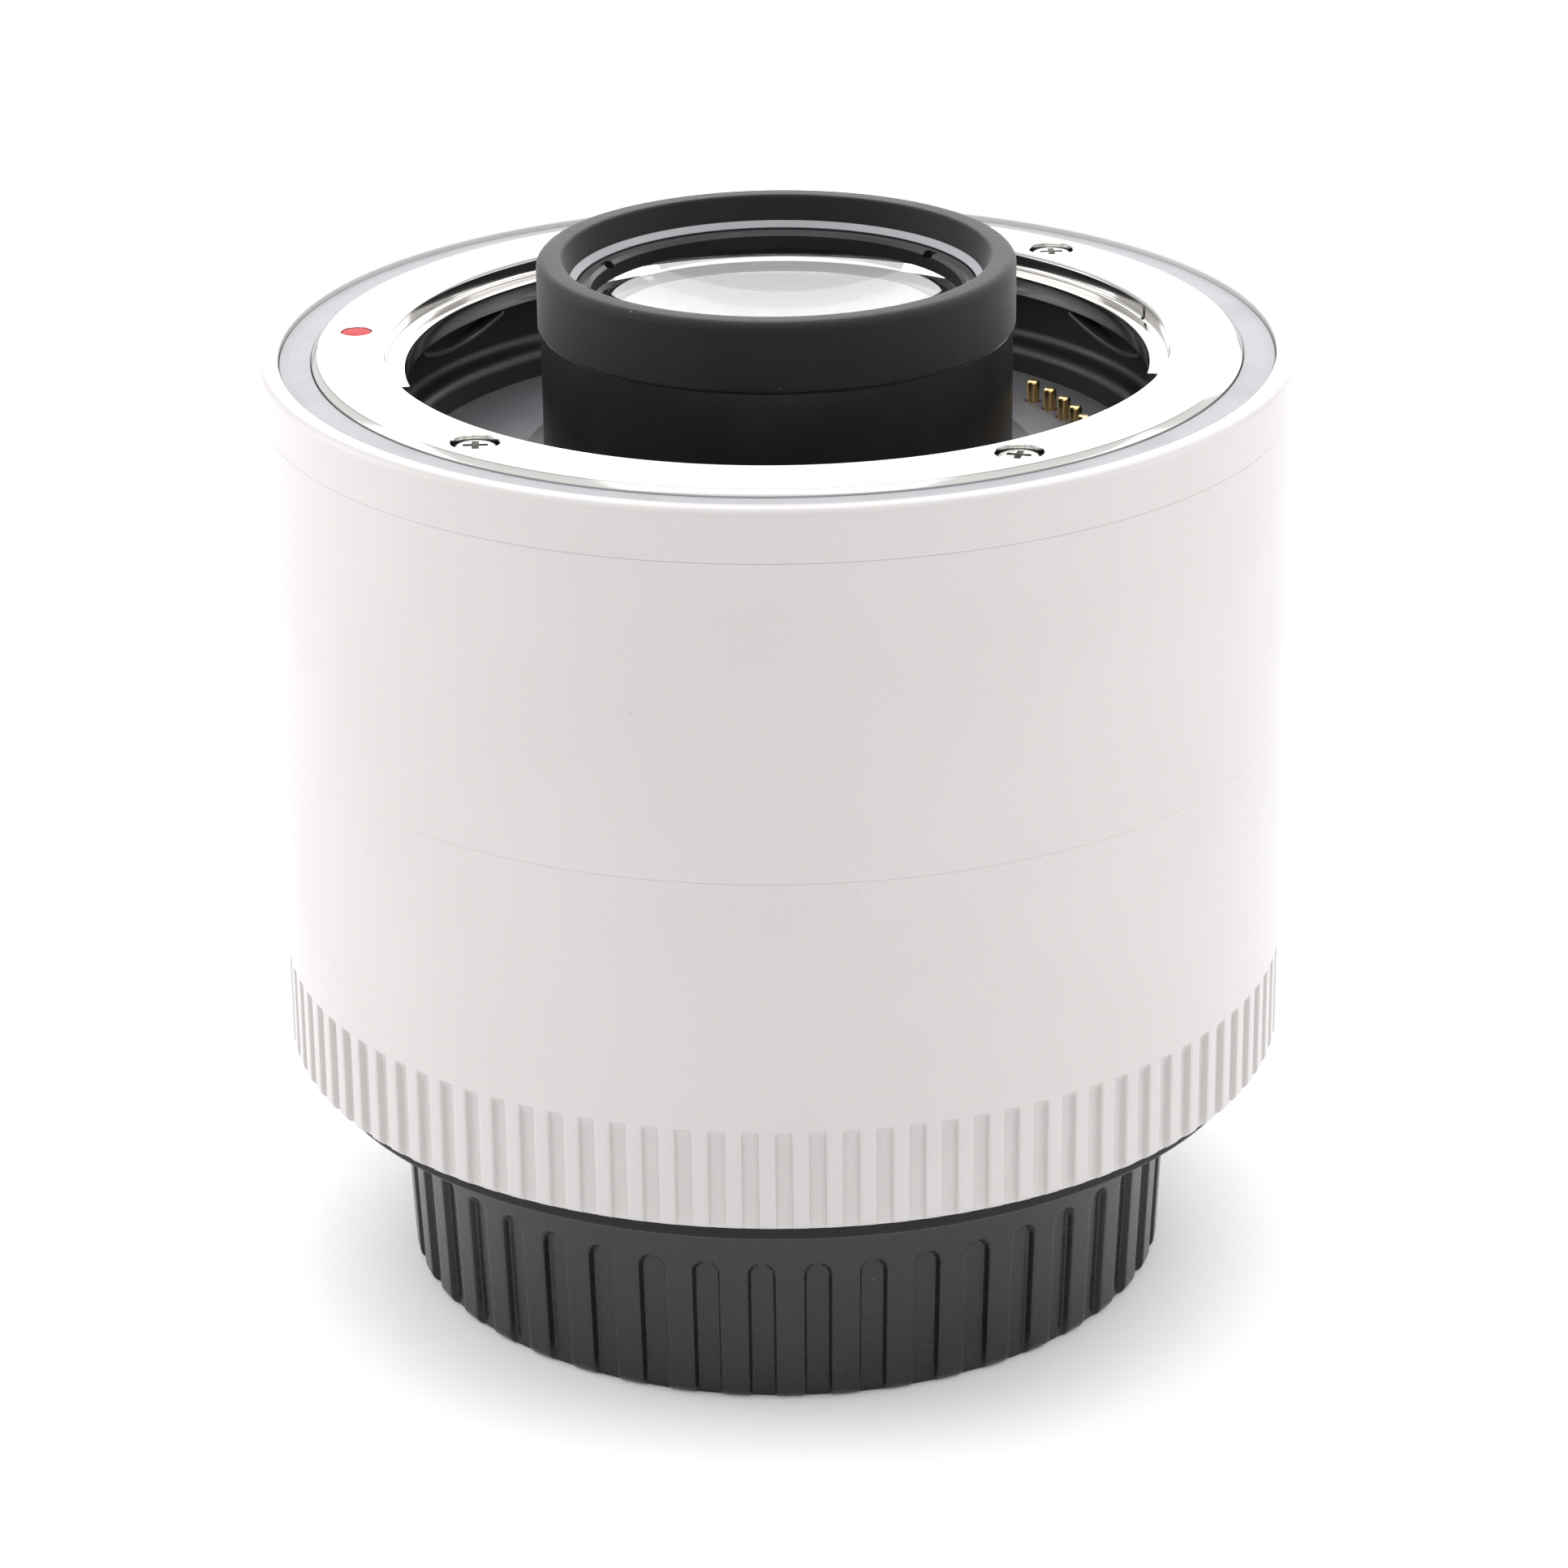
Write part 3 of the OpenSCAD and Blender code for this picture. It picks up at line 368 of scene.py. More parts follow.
def bevel(piece: bpy.types.Object, width: float, segments: int = 4) -> bpy.types.Object:
    """Rounds the sharp edges of a piece, and returns it."""
    apply_modifier(piece, "BEVEL", {"width": width, "segments": segments, "limit_method": "ANGLE"})
    return piece


def drill(radius: float, bottom: float, top: float, chamfer: float = 0.0, columns: int = 48) -> bpy.types.Object:
    """Makes a tool on the axis that cuts a round hole.

    Args:
        radius: Radius of the hole.
        bottom: Lower end of the tool.
        top: Its upper end or, with a chamfer, the face that is chamfered.
        chamfer: Depth of the chamfer.
        columns: Points round the circle.

    Returns:
        The tool.
    """
    mouth = [(radius, top - chamfer), (radius + 2 * chamfer, top + chamfer)] if chamfer else [(radius, top)]
    return turned("tool", [(0.0, bottom), (radius, bottom), *mouth, (0.0, top + chamfer)], columns)


def cut(piece: bpy.types.Object, *tools: bpy.types.Object) -> None:
    """Takes the shape of each tool out of a piece, and the tool away."""
    for tool in tools:
        apply_modifier(piece, "BOOLEAN", {"operation": "DIFFERENCE", "solver": "EXACT", "object": tool})
        select_only(tool)
        bpy.ops.object.delete()


def join(name: str, pieces: Sequence[bpy.types.Object]) -> bpy.types.Object:
    """Joins pieces into one object.

    Args:
        name: Name of the joined piece.
        pieces: Pieces, of which the first stays.

    Returns:
        The joined piece.
    """
    deselect_all()
    for piece in pieces:
        piece.select_set(True)
    bpy.context.view_layer.objects.active = pieces[0]
    if len(pieces) > 1:
        bpy.ops.object.join()
    pieces[0].name = name
    return pieces[0]


def move_to(piece: bpy.types.Object, radius: float, angle: float) -> bpy.types.Object:
    """Carries a piece that was made on the axis out to a radius and direction, and returns it."""
    select_only(piece)
    bpy.ops.transform.translate(value=(radius, 0, 0))
    bpy.ops.transform.rotate(value=-math.radians(angle), orient_axis="Z", center_override=AXIS)
    bpy.ops.object.transform_apply(location=True, rotation=True, scale=True)
    return piece


def copy_at(piece: bpy.types.Object, angle: float) -> bpy.types.Object:
    """Copies a piece, with its own mesh, and turns the copy about the axis by an angle in degrees."""
    select_only(piece)
    bpy.ops.object.duplicate(linked=False)
    copy = bpy.context.object
    bpy.ops.transform.rotate(value=-math.radians(angle), orient_axis="Z", center_override=AXIS)
    bpy.ops.object.transform_apply(location=True, rotation=True, scale=True)
    return copy


def ring_of(piece: bpy.types.Object, radius: float, angles: Sequence[float]) -> list[bpy.types.Object]:
    """Carries a piece that was made on the axis out to a radius, and copies it to several directions.

    Args:
        piece: The piece.
        radius: Distance from the axis.
        angles: Directions in degrees.

    Returns:
        The pieces, in the order of the directions.
    """
    move_to(piece, radius, angles[0])
    return [piece] + [copy_at(piece, angle - angles[0]) for angle in angles[1:]]


def smooth(piece: bpy.types.Object, angle: float = 32.0) -> bpy.types.Object:
    """Brings a piece to metres and shades it, with flat faces kept flat.

    Args:
        piece: The piece in millimetres.
        angle: Edges sharper than this stay sharp.

    Returns:
        The piece.
    """
    select_only(piece)
    bpy.ops.transform.resize(value=(MM, MM, MM), center_override=AXIS)
    bpy.ops.object.transform_apply(location=True, rotation=True, scale=True)
    bpy.ops.object.shade_smooth_by_angle(angle=math.radians(angle))
    apply_modifier(piece, "WEIGHTED_NORMAL", {"keep_sharp": True, "weight": 50})
    return piece


# Shading


class Value:
    """A socket of a shader, with which maths reads as an expression."""

    def __init__(self, sheet: "Sheet", socket: bpy.types.NodeSocket) -> None:
        """Wraps a socket of a sheet of nodes."""
        self.sheet, self.socket = sheet, socket

    def _math(self, operation: str, *terms: Any) -> "Value":
        """Adds one Math node on the terms."""
        return self.sheet.node("ShaderNodeMath", {"operation": operation}, dict(enumerate(terms)))

    def __add__(self, other: Any) -> "Value":
        """Sum."""
        return self._math("ADD", self, other)

    __radd__ = __add__

    def __sub__(self, other: Any) -> "Value":
        """Difference."""
        return self._math("SUBTRACT", self, other)

    def __rsub__(self, other: Any) -> "Value":
        """Difference from a number."""
        return self._math("SUBTRACT", other, self)

    def __mul__(self, other: Any) -> "Value":
        """Product."""
        return self._math("MULTIPLY", self, other)

    def __pow__(self, other: Any) -> "Value":
        """Power."""
        return self._math("POWER", self, other)

    def __lt__(self, other: Any) -> "Value":
        """One where this is below the other, and zero elsewhere."""
        return self._math("LESS_THAN", self, other)

    def ease(self, low: float, high: float) -> "Value":
        """Rises smoothly from zero at low to one at high."""
        return self.sheet.node("ShaderNodeMapRange", {"interpolation_type": "SMOOTHSTEP"},
                               {"Value": self, "From Min": low, "From Max": high})

    def largest(self, other: Any) -> "Value":
        """The larger of two values."""
        return self._math("MAXIMUM", self, other)


class Sheet:
    """The nodes of one material, or of the world."""

    def __init__(self, owner: bpy.types.ID) -> None:
        """Starts the nodes of a new material or world."""
        owner.use_nodes = True
        self.owner, self.tree = owner, owner.node_tree
        self.shader = self.tree.nodes.get("Principled BSDF")
        self._point: Value | None = None

    def node(self, kind: str, settings: Mapping[str, Any], inputs: Mapping[Any, Any], out: Any = 0) -> Value:
        """Adds a node.

        Args:
            kind: Type of the node.
            settings: Its settings, which are set first.
            inputs: Values or links of its sockets, by identifier, name or index.
            out: Index, identifier or name of the output that is used.

        Returns:
            The output.
        """
        made = self.tree.nodes.new(kind)
        for key, value in settings.items():
            setattr(made, key, value)
        for key, value in inputs.items():
            self.feed(self.find(made.inputs, key), value)
        return Value(self, self.find(made.outputs, out))

    @staticmethod
    def find(sockets: Any, key: Any) -> bpy.types.NodeSocket:
        """Finds a socket by index, identifier or name."""
        if isinstance(key, int):
            return sockets[key]
        return next((s for s in sockets if s.identifier == key), None) or sockets[key]

    def feed(self, socket: bpy.types.NodeSocket, value: Any) -> None:
        """Links a value to a socket, or sets it there."""
        if isinstance(value, Value):
            self.tree.links.new(value.socket, socket)
        elif isinstance(value, tuple) and len(value) == 3 and socket.type == "RGBA":
            socket.default_value = (*value, 1.0)
        else:
            socket.default_value = value

    def surface(self, **inputs: Any) -> None:
        """Feeds sockets of the surface shader, named with underscores for spaces."""
        for key, value in inputs.items():
            self.feed(self.shader.inputs[key.replace("_", " ")], value)

    @property
    def point(self) -> Value:
        """Place of the shaded point in the model's frame, in metres."""
        if self._point is None:
            self._point = self.node("ShaderNodeTexCoord", {}, {}, "Object")
        return self._point

    def seen(self) -> Value:
        """One for rays that the picture shows, straight or mirrored, and zero for those that only light."""
        rays = [self.node("ShaderNodeLightPath", {}, {}, ray) for ray in SEEN_RAYS]
        return rays[0].largest(rays[1]).largest(rays[2])

    def grain(self, size: float, detail: float = 2.0, stretch: Colour = (1.0, 1.0, 1.0)) -> Value:
        """Soft random grain.

        Args:
            size: Size of a grain in millimetres.
            detail: Octaves.
            stretch: How much closer the grain is along each axis.

        Returns:
            Values about one half.
        """
        place = self.point
        if stretch != (1.0, 1.0, 1.0):
            place = self.node("ShaderNodeMapping", {"vector_type": "POINT"}, {"Vector": place, "Scale": stretch})
        return self.node("ShaderNodeTexNoise", {}, {"Vector": place, "Scale": 1 / (size * MM), "Detail": detail},
                         "Fac")

    def rings(self, pitch: float, detail: float = 2.0) -> Value:
        """Fine random lines round the optical axis, as a lathe leaves them.

        Args:
            pitch: Distance of the lines in millimetres.
            detail: Octaves.

        Returns:
            Values about one half.
        """
        parts = {axis: self.node("ShaderNodeSeparateXYZ", {}, {0: self.point}, axis) for axis in "XYZ"}
        radius = (parts["X"] * parts["X"] + parts["Y"] * parts["Y"]) ** 0.5
        line = self.node("ShaderNodeCombineXYZ", {}, {"X": radius, "Z": parts["Z"]})
        return self.node("ShaderNodeTexNoise", {}, {"Vector": line, "Scale": 1 / (pitch * MM), "Detail": detail},
                         "Fac")

    def specks(self, spacing: float, size: float, share: float) -> Value:
        """Sparse dots, such as dust.

        Args:
            spacing: Distance of the places where a dot may lie, in millimetres.
            size: Largest radius of a dot in millimetres.
            share: Share of the places that have one.

        Returns:
            One on a dot and zero elsewhere.
        """
        inputs = {"Vector": self.point, "Scale": 1 / (spacing * MM), "Randomness": 1.0}
        reach = self.node("ShaderNodeTexVoronoi", {"feature": "F1"}, inputs, "Distance")
        tint = self.node("ShaderNodeTexVoronoi", {"feature": "F1"}, inputs, "Color")
        chance = self.node("ShaderNodeSeparateColor", {}, {0: tint}, "Red")
        width = self.node("ShaderNodeSeparateColor", {}, {0: tint}, "Green")
        return (reach < (width * 0.8 + 0.2) * (size / spacing)) * (chance < share)

    def blend(self, factor: Any, first: Any, second: Any) -> Value:
        """Mixes two colours.

        Args:
            factor: Share of the second colour.
            first: First colour.
            second: Second colour.

        Returns:
            The mixed colour.
        """
        return self.node("ShaderNodeMix", {"data_type": "RGBA"},
                         {"Factor_Float": factor, "A_Color": first, "B_Color": second}, "Result_Color")

    def relief(self, height: Value, depth: float, strength: float = 1.0) -> Value:
        """Bends the surface's normal after a height.

        Args:
            height: Height, from zero to one.
            depth: What one stands for, in millimetres.
            strength: Share of the effect.

        Returns:
            The normal.
        """
        return self.node("ShaderNodeBump", {}, {"Height": height, "Distance": depth * MM, "Strength": strength})


@dataclass(frozen=True)
class Finish:
    """A finish that belongs to a slot of the record."""

    slot: Slot

    def build(self) -> bpy.types.Material:
        """Makes the material."""
        sheet = Sheet(bpy.data.materials.new(self.slot.value))
        self.mix(sheet)
        return sheet.owner

    def mix(self, sheet: Sheet) -> None:
        """Sets up the nodes."""
        raise NotImplementedError


@dataclass(frozen=True)
class TexturedPaint(Finish):
    """Stoved paint with a fine grain, some dust and a few paler rubs."""

    colour: Colour
    deep: Colour
    gloss: float
    grain_depth: float
    shine: float

    def mix(self, sheet: Sheet) -> None:
        """Sets up the nodes."""
        fine, coarse = sheet.grain(0.16, 3.0), sheet.grain(0.55, 2.0)
        cloud = sheet.grain(14.0, 3.0)
        dust = sheet.specks(3.2, 0.09, 0.10)
        tone = sheet.blend(cloud.ease(0.35, 0.7) * 0.3 + (fine - 0.5) * 0.6 + 0.2, self.colour, self.deep)
        tone = sheet.blend(dust * 0.35, tone, (0.22, 0.21, 0.20))
        sheet.surface(Base_Color=tone, Roughness=self.gloss + (cloud - 0.5) * 0.06 + (fine - 0.5) * 0.15,
                      Specular_IOR_Level=self.shine,
                      Normal=sheet.relief(fine * 0.6 + coarse * 0.4, self.grain_depth))


@dataclass(frozen=True)
class Metal(Finish):
    """Plated, turned or blasted metal."""

    colour: Colour
    deep: Colour
    rough: float
    rough_spread: float
    metallic: float
    line_pitch: float
    line_depth: float

    def mix(self, sheet: Sheet) -> None:
        """Sets up the nodes."""
        lines, cloud, fine = sheet.rings(self.line_pitch), sheet.grain(5.0, 3.0), sheet.grain(0.08, 2.0)
        rubbed = cloud.ease(0.45, 0.75) * 0.6 + (lines - 0.5) * 0.6 + 0.15
        sheet.surface(Base_Color=sheet.blend(rubbed, self.colour, self.deep), Metallic=self.metallic,
                      Roughness=self.rough + (cloud - 0.5) * self.rough_spread + (lines - 0.5) * self.rough_spread,
                      Normal=sheet.relief(lines * 0.7 + fine * 0.3, self.line_depth))


@dataclass(frozen=True)
class FlangePlate(Metal):
    """Plating that is satin on the flange's face and polished on its edges and bores, where a darker streaked colour is
    painted shade.
    """

    face: float
    face_rough: float
    # The two wall colours below are darker tones of the plating for the walls and bores: painted shade.
    wall: Colour
    shaded_wall_deep: Colour

    def mix(self, sheet: Sheet) -> None:
        """Sets up the nodes."""
        super().mix(sheet)
        height = sheet.node("ShaderNodeSeparateXYZ", {}, {0: sheet.point}, "Z")
        satin = height.ease((self.face - 0.03) * MM, (self.face - 0.005) * MM)
        polish = Value(sheet, sheet.shader.inputs["Roughness"].links[0].from_socket)
        plate = Value(sheet, sheet.shader.inputs["Base Color"].links[0].from_socket)
        # Walls and bores below the face get darker streaked tones of the plating: painted shade.
        shaded_wall_streaks = sheet.blend(sheet.rings(0.5, 1.0).ease(0.38, 0.64), self.wall, self.shaded_wall_deep)
        sheet.surface(Base_Color=sheet.blend(satin, shaded_wall_streaks, plate),
                      Roughness=polish + satin * (self.face_rough - self.rough))


@dataclass(frozen=True)
class Moulding(Finish):
    """Moulded plastic or rubber with a fine grain and dust."""

    colour: Colour
    deep: Colour
    rough: float
    grain_size: float
    grain_depth: float
    dust: float
    dust_colour: Colour
    shine: float
    bloom: float

    def mix(self, sheet: Sheet) -> None:
        """Sets up the nodes."""
        fine, cloud = sheet.grain(self.grain_size, 3.0), sheet.grain(6.0, 3.0)
        dots = sheet.specks(1.7, 0.07, self.dust)
        lint = sheet.specks(4.1, 0.13, self.dust * 0.5)
        tone = sheet.blend(cloud.ease(0.3, 0.75) * 0.7 + (fine - 0.5) * 0.6, self.colour, self.deep)
        tone = sheet.blend(dots.largest(lint) * 0.8, tone, self.dust_colour)
        sheet.surface(Base_Color=tone, Roughness=self.rough + (cloud - 0.5) * 0.14 + (fine - 0.5) * 0.2,
                      Specular_IOR_Level=self.shine, Sheen_Weight=self.bloom, Sheen_Roughness=0.35,
                      Normal=sheet.relief(fine, self.grain_depth))


@dataclass(frozen=True)
class ClearGlass(Finish):
    """Coated optical glass with a breath of dust."""

    colour: Colour
    index: float
    mirror: float

    def mix(self, sheet: Sheet) -> None:
        """Sets up the nodes."""
        film = sheet.grain(3.0, 3.0).ease(0.4, 0.8)
        dust = sheet.specks(1.9, 0.05, 0.12)
        sheet.surface(Base_Color=sheet.blend(dust * 0.5, self.colour, (0.7, 0.7, 0.7)),
                      Roughness=film * 0.03 + dust * 0.3 + 0.005, IOR=self.index, Transmission_Weight=1.0,
                      Metallic=self.mirror)


@dataclass(frozen=True)
class Circuit(Finish):
    """Lacquered board or film with conductor runs."""

    colour: Colour
    run_colour: Colour
    run_pitch: float
    rough: float

    def mix(self, sheet: Sheet) -> None:
        """Sets up the nodes."""
        cells = sheet.node("ShaderNodeTexVoronoi", {"feature": "DISTANCE_TO_EDGE", "distance": "EUCLIDEAN"},
                           {"Vector": sheet.point, "Scale": 1 / (self.run_pitch * MM), "Randomness": 0.6}, "Distance")
        runs = 1 - cells.ease(0.06, 0.12)
        cloud = sheet.grain(2.5, 3.0)
        tone = sheet.blend(runs * 0.75 + (cloud - 0.5) * 0.2, self.colour, self.run_colour)
        sheet.surface(Base_Color=tone, Roughness=self.rough + (cloud - 0.5) * 0.15 - runs * 0.08,
                      Normal=sheet.relief(runs + cloud * 0.1, 0.02, 0.6))


FINISHES: tuple[Finish, ...] = (
    TexturedPaint(Slot.WHITE_PAINT, (0.72, 0.695, 0.685), (0.665, 0.64, 0.63), 0.36, 0.008, 0.5),
    TexturedPaint(Slot.RED_PAINT, (0.66, 0.045, 0.055), (0.54, 0.03, 0.04), 0.6, 0.008, 0.2),
    Metal(Slot.GREY_SATIN, (0.47, 0.475, 0.50), (0.40, 0.405, 0.43), 0.60, 0.08, 0.0, 0.09, 0.002),
    # The flange's last two colours are painted shade on its walls and bores.
    FlangePlate(Slot.BRIGHT_PLATE, (0.92, 0.91, 0.89), (0.84, 0.83, 0.80), 0.12, 0.06, 1.0, 0.07, 0.0008, 68.5, 0.42,
                (0.70, 0.69, 0.67), (0.40, 0.385, 0.37)),
    Metal(Slot.SCREW_STEEL, (0.58, 0.57, 0.55), (0.42, 0.41, 0.40), 0.26, 0.14, 1.0, 0.05, 0.002),
    Metal(Slot.DARK_SPRING, (0.15, 0.15, 0.155), (0.22, 0.22, 0.225), 0.32, 0.14, 0.8, 0.06, 0.002),
    Metal(Slot.FLOOR_GREY, (0.14, 0.14, 0.155), (0.18, 0.18, 0.197), 0.46, 0.10, 0.25, 0.12, 0.002),
    Metal(Slot.BLACK_METAL, (0.021, 0.021, 0.023), (0.030, 0.030, 0.033), 0.31, 0.10, 0.15, 0.10, 0.003),
    Metal(Slot.GOLD, (0.96, 0.72, 0.34), (0.80, 0.53, 0.20), 0.22, 0.12, 1.0, 0.05, 0.002),
    Moulding(Slot.BLACK_PLASTIC, (0.016, 0.016, 0.018), (0.024, 0.024, 0.027), 0.45, 0.12, 0.006, 0.02,
             (0.25, 0.25, 0.26), 0.45, 0.0),
    Moulding(Slot.RUBBER, (0.009, 0.009, 0.0095), (0.015, 0.015, 0.016), 0.66, 0.14, 0.03, 0.16, (0.60, 0.60, 0.61),
             0.3, 0.3),
    Moulding(Slot.CAP_PLASTIC, (0.009, 0.009, 0.0105), (0.014, 0.014, 0.016), 0.29, 0.20, 0.006, 0.03,
             (0.30, 0.30, 0.31), 0.55, 0.0),
    Circuit(Slot.FLEX_FILM, (0.42, 0.17, 0.035), (0.60, 0.30, 0.10), 1.1, 0.34),
    Circuit(Slot.BOARD, (0.012, 0.085, 0.045), (0.035, 0.17, 0.09), 1.6, 0.40),
    ClearGlass(Slot.GLASS, (0.97, 0.975, 0.97), 1.65, 0.05),
)
# The inner lens groups get a near-black copy of the glass: painted shade of the barrel's inside.
SHADED_INNER_GLASS = ClearGlass(Slot.GLASS, (0.10, 0.11, 0.11), 1.6, 0.0)


class FinishBook:
    """Makes each material once and puts it on pieces."""

    def __init__(self, finishes: Sequence[Finish]) -> None:
        """Builds the materials of all finishes."""
        self.materials = {finish.slot: finish.build() for finish in finishes}
        self.shaded_inner_glass = SHADED_INNER_GLASS.build()

    def dress(self, piece: bpy.types.Object, slot: Slot, *nodes: str, body: str = Body.BARREL.value) -> None:
        """Gives a finished piece the material of its slot, and its body.

        Args:
            piece: The piece.
            slot: Slot of its finish.
            nodes: Nodes of the frame that it stands for.
            body: Body that it rides on.
        """
        piece.data.materials.clear()
        piece.data.materials.append(self.materials[slot])
        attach(piece, body)
        if nodes:
            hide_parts(*nodes)
        LOG.info("%s: %d faces, rides on %s", piece.name, len(piece.data.polygons), body)

    def dress_node(self, name: str, slot: Slot) -> None:
        """Gives a node of the frame its material."""
        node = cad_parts[name]
        node.data.materials.clear()
        # Glass nodes inside get the near-black glass, which is painted shade.
        node.data.materials.append(self.shaded_inner_glass if slot is Slot.GLASS else self.materials[slot])
        LOG.info("%s: kept node, %s", name, slot.value)


# Sub-assemblies


def mirrored(offsets: Sequence[float], pitch: float) -> list[float]:
    """Lays the offsets of half a groove on both sides of its middle.

    Args:
        offsets: Distances from the middle in degrees, of which the first is 0 and the last half the pitch.
        pitch: Pitch of the grooves in degrees.

    Returns:
        Offsets over one pitch, from 0 up.
    """
    return list(offsets) + [pitch - a for a in reversed(offsets[1:-1])]


class Grooved:
    """Columns of a turned piece whose outside has grooves at an even pitch."""

    def __init__(self, count: int, first: float, offsets: Sequence[float], radius: float) -> None:
        """Lays out the columns.

        Args:
            count: Number of grooves.
            first: Direction of one groove's middle in degrees.
            offsets: Distances of the columns from a groove's middle in millimetres, without half the pitch.
            radius: Radius at which they are measured.
        """
        pitch = 360.0 / count
        half = [math.degrees(a / radius) for a in offsets] + [pitch / 2]
        pattern = mirrored(half, pitch)
        start = first + pitch * math.ceil((90.0 - first) / pitch)
        self.angles = [start + pitch * k + a for k in range(count) for a in pattern]
        self.groups: dict[float, list[int]] = {}
        for k in range(count):
            for j, a in enumerate(pattern):
                reach = math.radians(min(a, pitch - a)) * radius
                self.groups.setdefault(round(reach, 5), []).append(k * len(pattern) + j)

    def carve(self, turning: Turning, floor: Callable[[float, float, float], float]) -> None:
        """Moves the columns of a turned piece in to the grooves' floor.

        Args:
            turning: The piece, with columns at these angles.
            floor: Gives the radius from a row's radius, its height and the distance from a groove's middle.
        """
        for row, (r, z) in enumerate(turning.outline):
            for reach, columns in self.groups.items():
                turning.place(row, columns, floor(r, z, reach), z)


def soft_step(x: float) -> float:
    """Rises smoothly from 0 at 0 to 1 at 1."""
    x = max(0.0, min(1.0, x))
    return x * x * (3 - 2 * x)


@dataclass
class RearCap:
    """Fluted black cap on which the converter stands."""

    height: float = 15.2
    base_r: float = 27.5
    top_r: float = 28.2
    edge: float = 0.8
    bore_r: float = 26.95
    well_r: float = 25.5
    mouth: float = 9.6
    floor: float = 2.0
    flutes: int = 45
    flute_w: float = 1.8
    flute_depth: float = 0.5
    flute_round: float = 9.8
    flute_soft: float = 0.12
    draft_level: float = 6.0
    wall_levels: Point = (3.0, 8.0)
    flute_top: float = 12.6
    plain_level: float = 12.0
    rim_level: float = 13.0
    lug_r: float = 25.5
    lug_heights: Point = (12.9, 14.5)
    lug_angles: tuple[float, ...] = (277.0, 29.0, 164.0)
    lug_span: float = 40.0
    columns: tuple[float, ...] = (0.0, 0.3, 0.6, 0.76, 0.82, 0.87, 0.92, 0.98, 1.05, 1.3)

    def wall(self, z: float) -> float:
        """Radius of the drafted wall at a height."""
        return self.base_r + (self.top_r - self.base_r) * z / self.height

    def outline(self) -> list[Point]:
        """Outline of the cap, from the middle of its underside to the middle of its floor."""
        base = rounded([(0.0, 0.0), (self.base_r, 0.0, self.edge), (self.wall(self.draft_level), self.draft_level)],
                       6, False)[:-1]
        levels = [*self.wall_levels, *(self.flute_round + a for a in self.columns), self.flute_top]
        wall = [(self.wall(z), z) for z in levels]
        rim = rounded([(self.wall(self.rim_level), self.rim_level), (self.top_r, self.height, 0.22),
                       (self.bore_r, self.height, 0.22), (self.bore_r, self.mouth, 0.3), (self.well_r, self.mouth, 0.3),
                       (self.well_r, self.floor, 0.6), (0.0, self.floor)], 4, False)
        return base + wall + rim

    def flute_floor(self, r: float, z: float, reach: float) -> float:
        """Radius of the fluted wall at a height and a distance from a flute's middle."""
        if r < self.well_r + 0.2 or z > self.plain_level or (r < self.bore_r + 0.01 and z > 1.0):
            return r
        away = math.hypot(reach, max(0.0, z - self.flute_round)) - self.flute_w / 2
        share = 1 - soft_step(0.5 + away / (2 * self.flute_soft))
        deep = self.wall(z) - self.flute_depth
        return r - max(0.0, r - deep) * share

    def build(self, book: FinishBook) -> None:
        """Builds the cap and its lugs.

        Args:
            book: Finishes.
        """
        grooves = Grooved(self.flutes, 0.0, self.columns, self.top_r)
        turning = Turning("fluted_cap", self.outline(), angles=grooves.angles)
        grooves.carve(turning, self.flute_floor)
        cap = turning.done()
        lug = sector("cap_lug", (self.lug_r, self.bore_r + 0.2), self.lug_heights, 0.0, self.lug_span, 24)
        pieces = [cap] + ring_of(bevel(lug, 0.2, 3), 0.0, self.lug_angles)
        book.dress(smooth(join("fluted_cap", pieces), 40.0), Slot.CAP_PLASTIC, "rear_cap", body=Body.CAP.value)


@dataclass
class CameraMount:
    """Camera-side flange with its bayonet tabs, and the sealing band."""

    neck_in_r: float = 24.1
    neck_r: float = 25.3
    tab_r: float = 26.7
    flange_r: float = 32.4
    neck: float = 10.9
    tab_top: float = 12.4
    flange: float = 15.3
    shell: float = 17.4
    tab_angles: tuple[float, ...] = (221.0, 332.7, 97.0)
    tab_spans: tuple[float, ...] = (40.0, 40.0, 62.0)
    seal_radii: Point = (32.45, 34.3)
    seal_bottom: float = 15.85
    screw_r: float = 29.5
    screw_bore_r: float = 1.6
    screw_depth: float = 1.1
    screw_angles: tuple[float, ...] = (45.0, 135.0, 225.0, 315.0)
    lock_r: float = 30.0
    lock_bore_r: float = 1.4
    lock_depth: float = 1.5

    def build(self, book: FinishBook) -> None:
        """Builds the flange and the band.

        Args:
            book: Finishes.
        """
        outline = rounded([(self.neck_in_r, self.shell), (self.neck_in_r, self.neck, 0.15),
                           (self.tab_r, self.neck, 0.2), (self.tab_r, self.tab_top, 0.2),
                           (self.neck_r, self.tab_top, 0.15), (self.neck_r, self.flange, 0.2),
                           (self.flange_r, self.flange, 0.15), (self.flange_r, self.shell)], 3)
        ends = [(m - s / 2, m + s / 2) for m, s in zip(self.tab_angles, self.tab_spans)]
        turning = Turning("camera_flange", outline, angles=columns_with_ends(540, ends))
        clear_between(turning, ends, self.neck_r, (self.neck, self.tab_top), outwards=True)
        ring = turning.done()
        under = self.flange - 0.5
        screw = drill(self.screw_bore_r, under, self.flange + self.screw_depth)
        lock = drill(self.lock_bore_r, under, self.flange + self.lock_depth)
        cut(ring, *ring_of(screw, self.screw_r, self.screw_angles), move_to(lock, self.lock_r, 90.0))
        book.dress(smooth(ring), Slot.BRIGHT_PLATE, "camera_mount_ring")
        low, high = self.seal_radii
        band = turned("sealing_band", [(low, self.shell), (low, self.seal_bottom, 0.2),
                                       (high, self.seal_bottom, 0.35), (high, self.shell)])
        book.dress(smooth(band), Slot.RUBBER, "mount_seal")


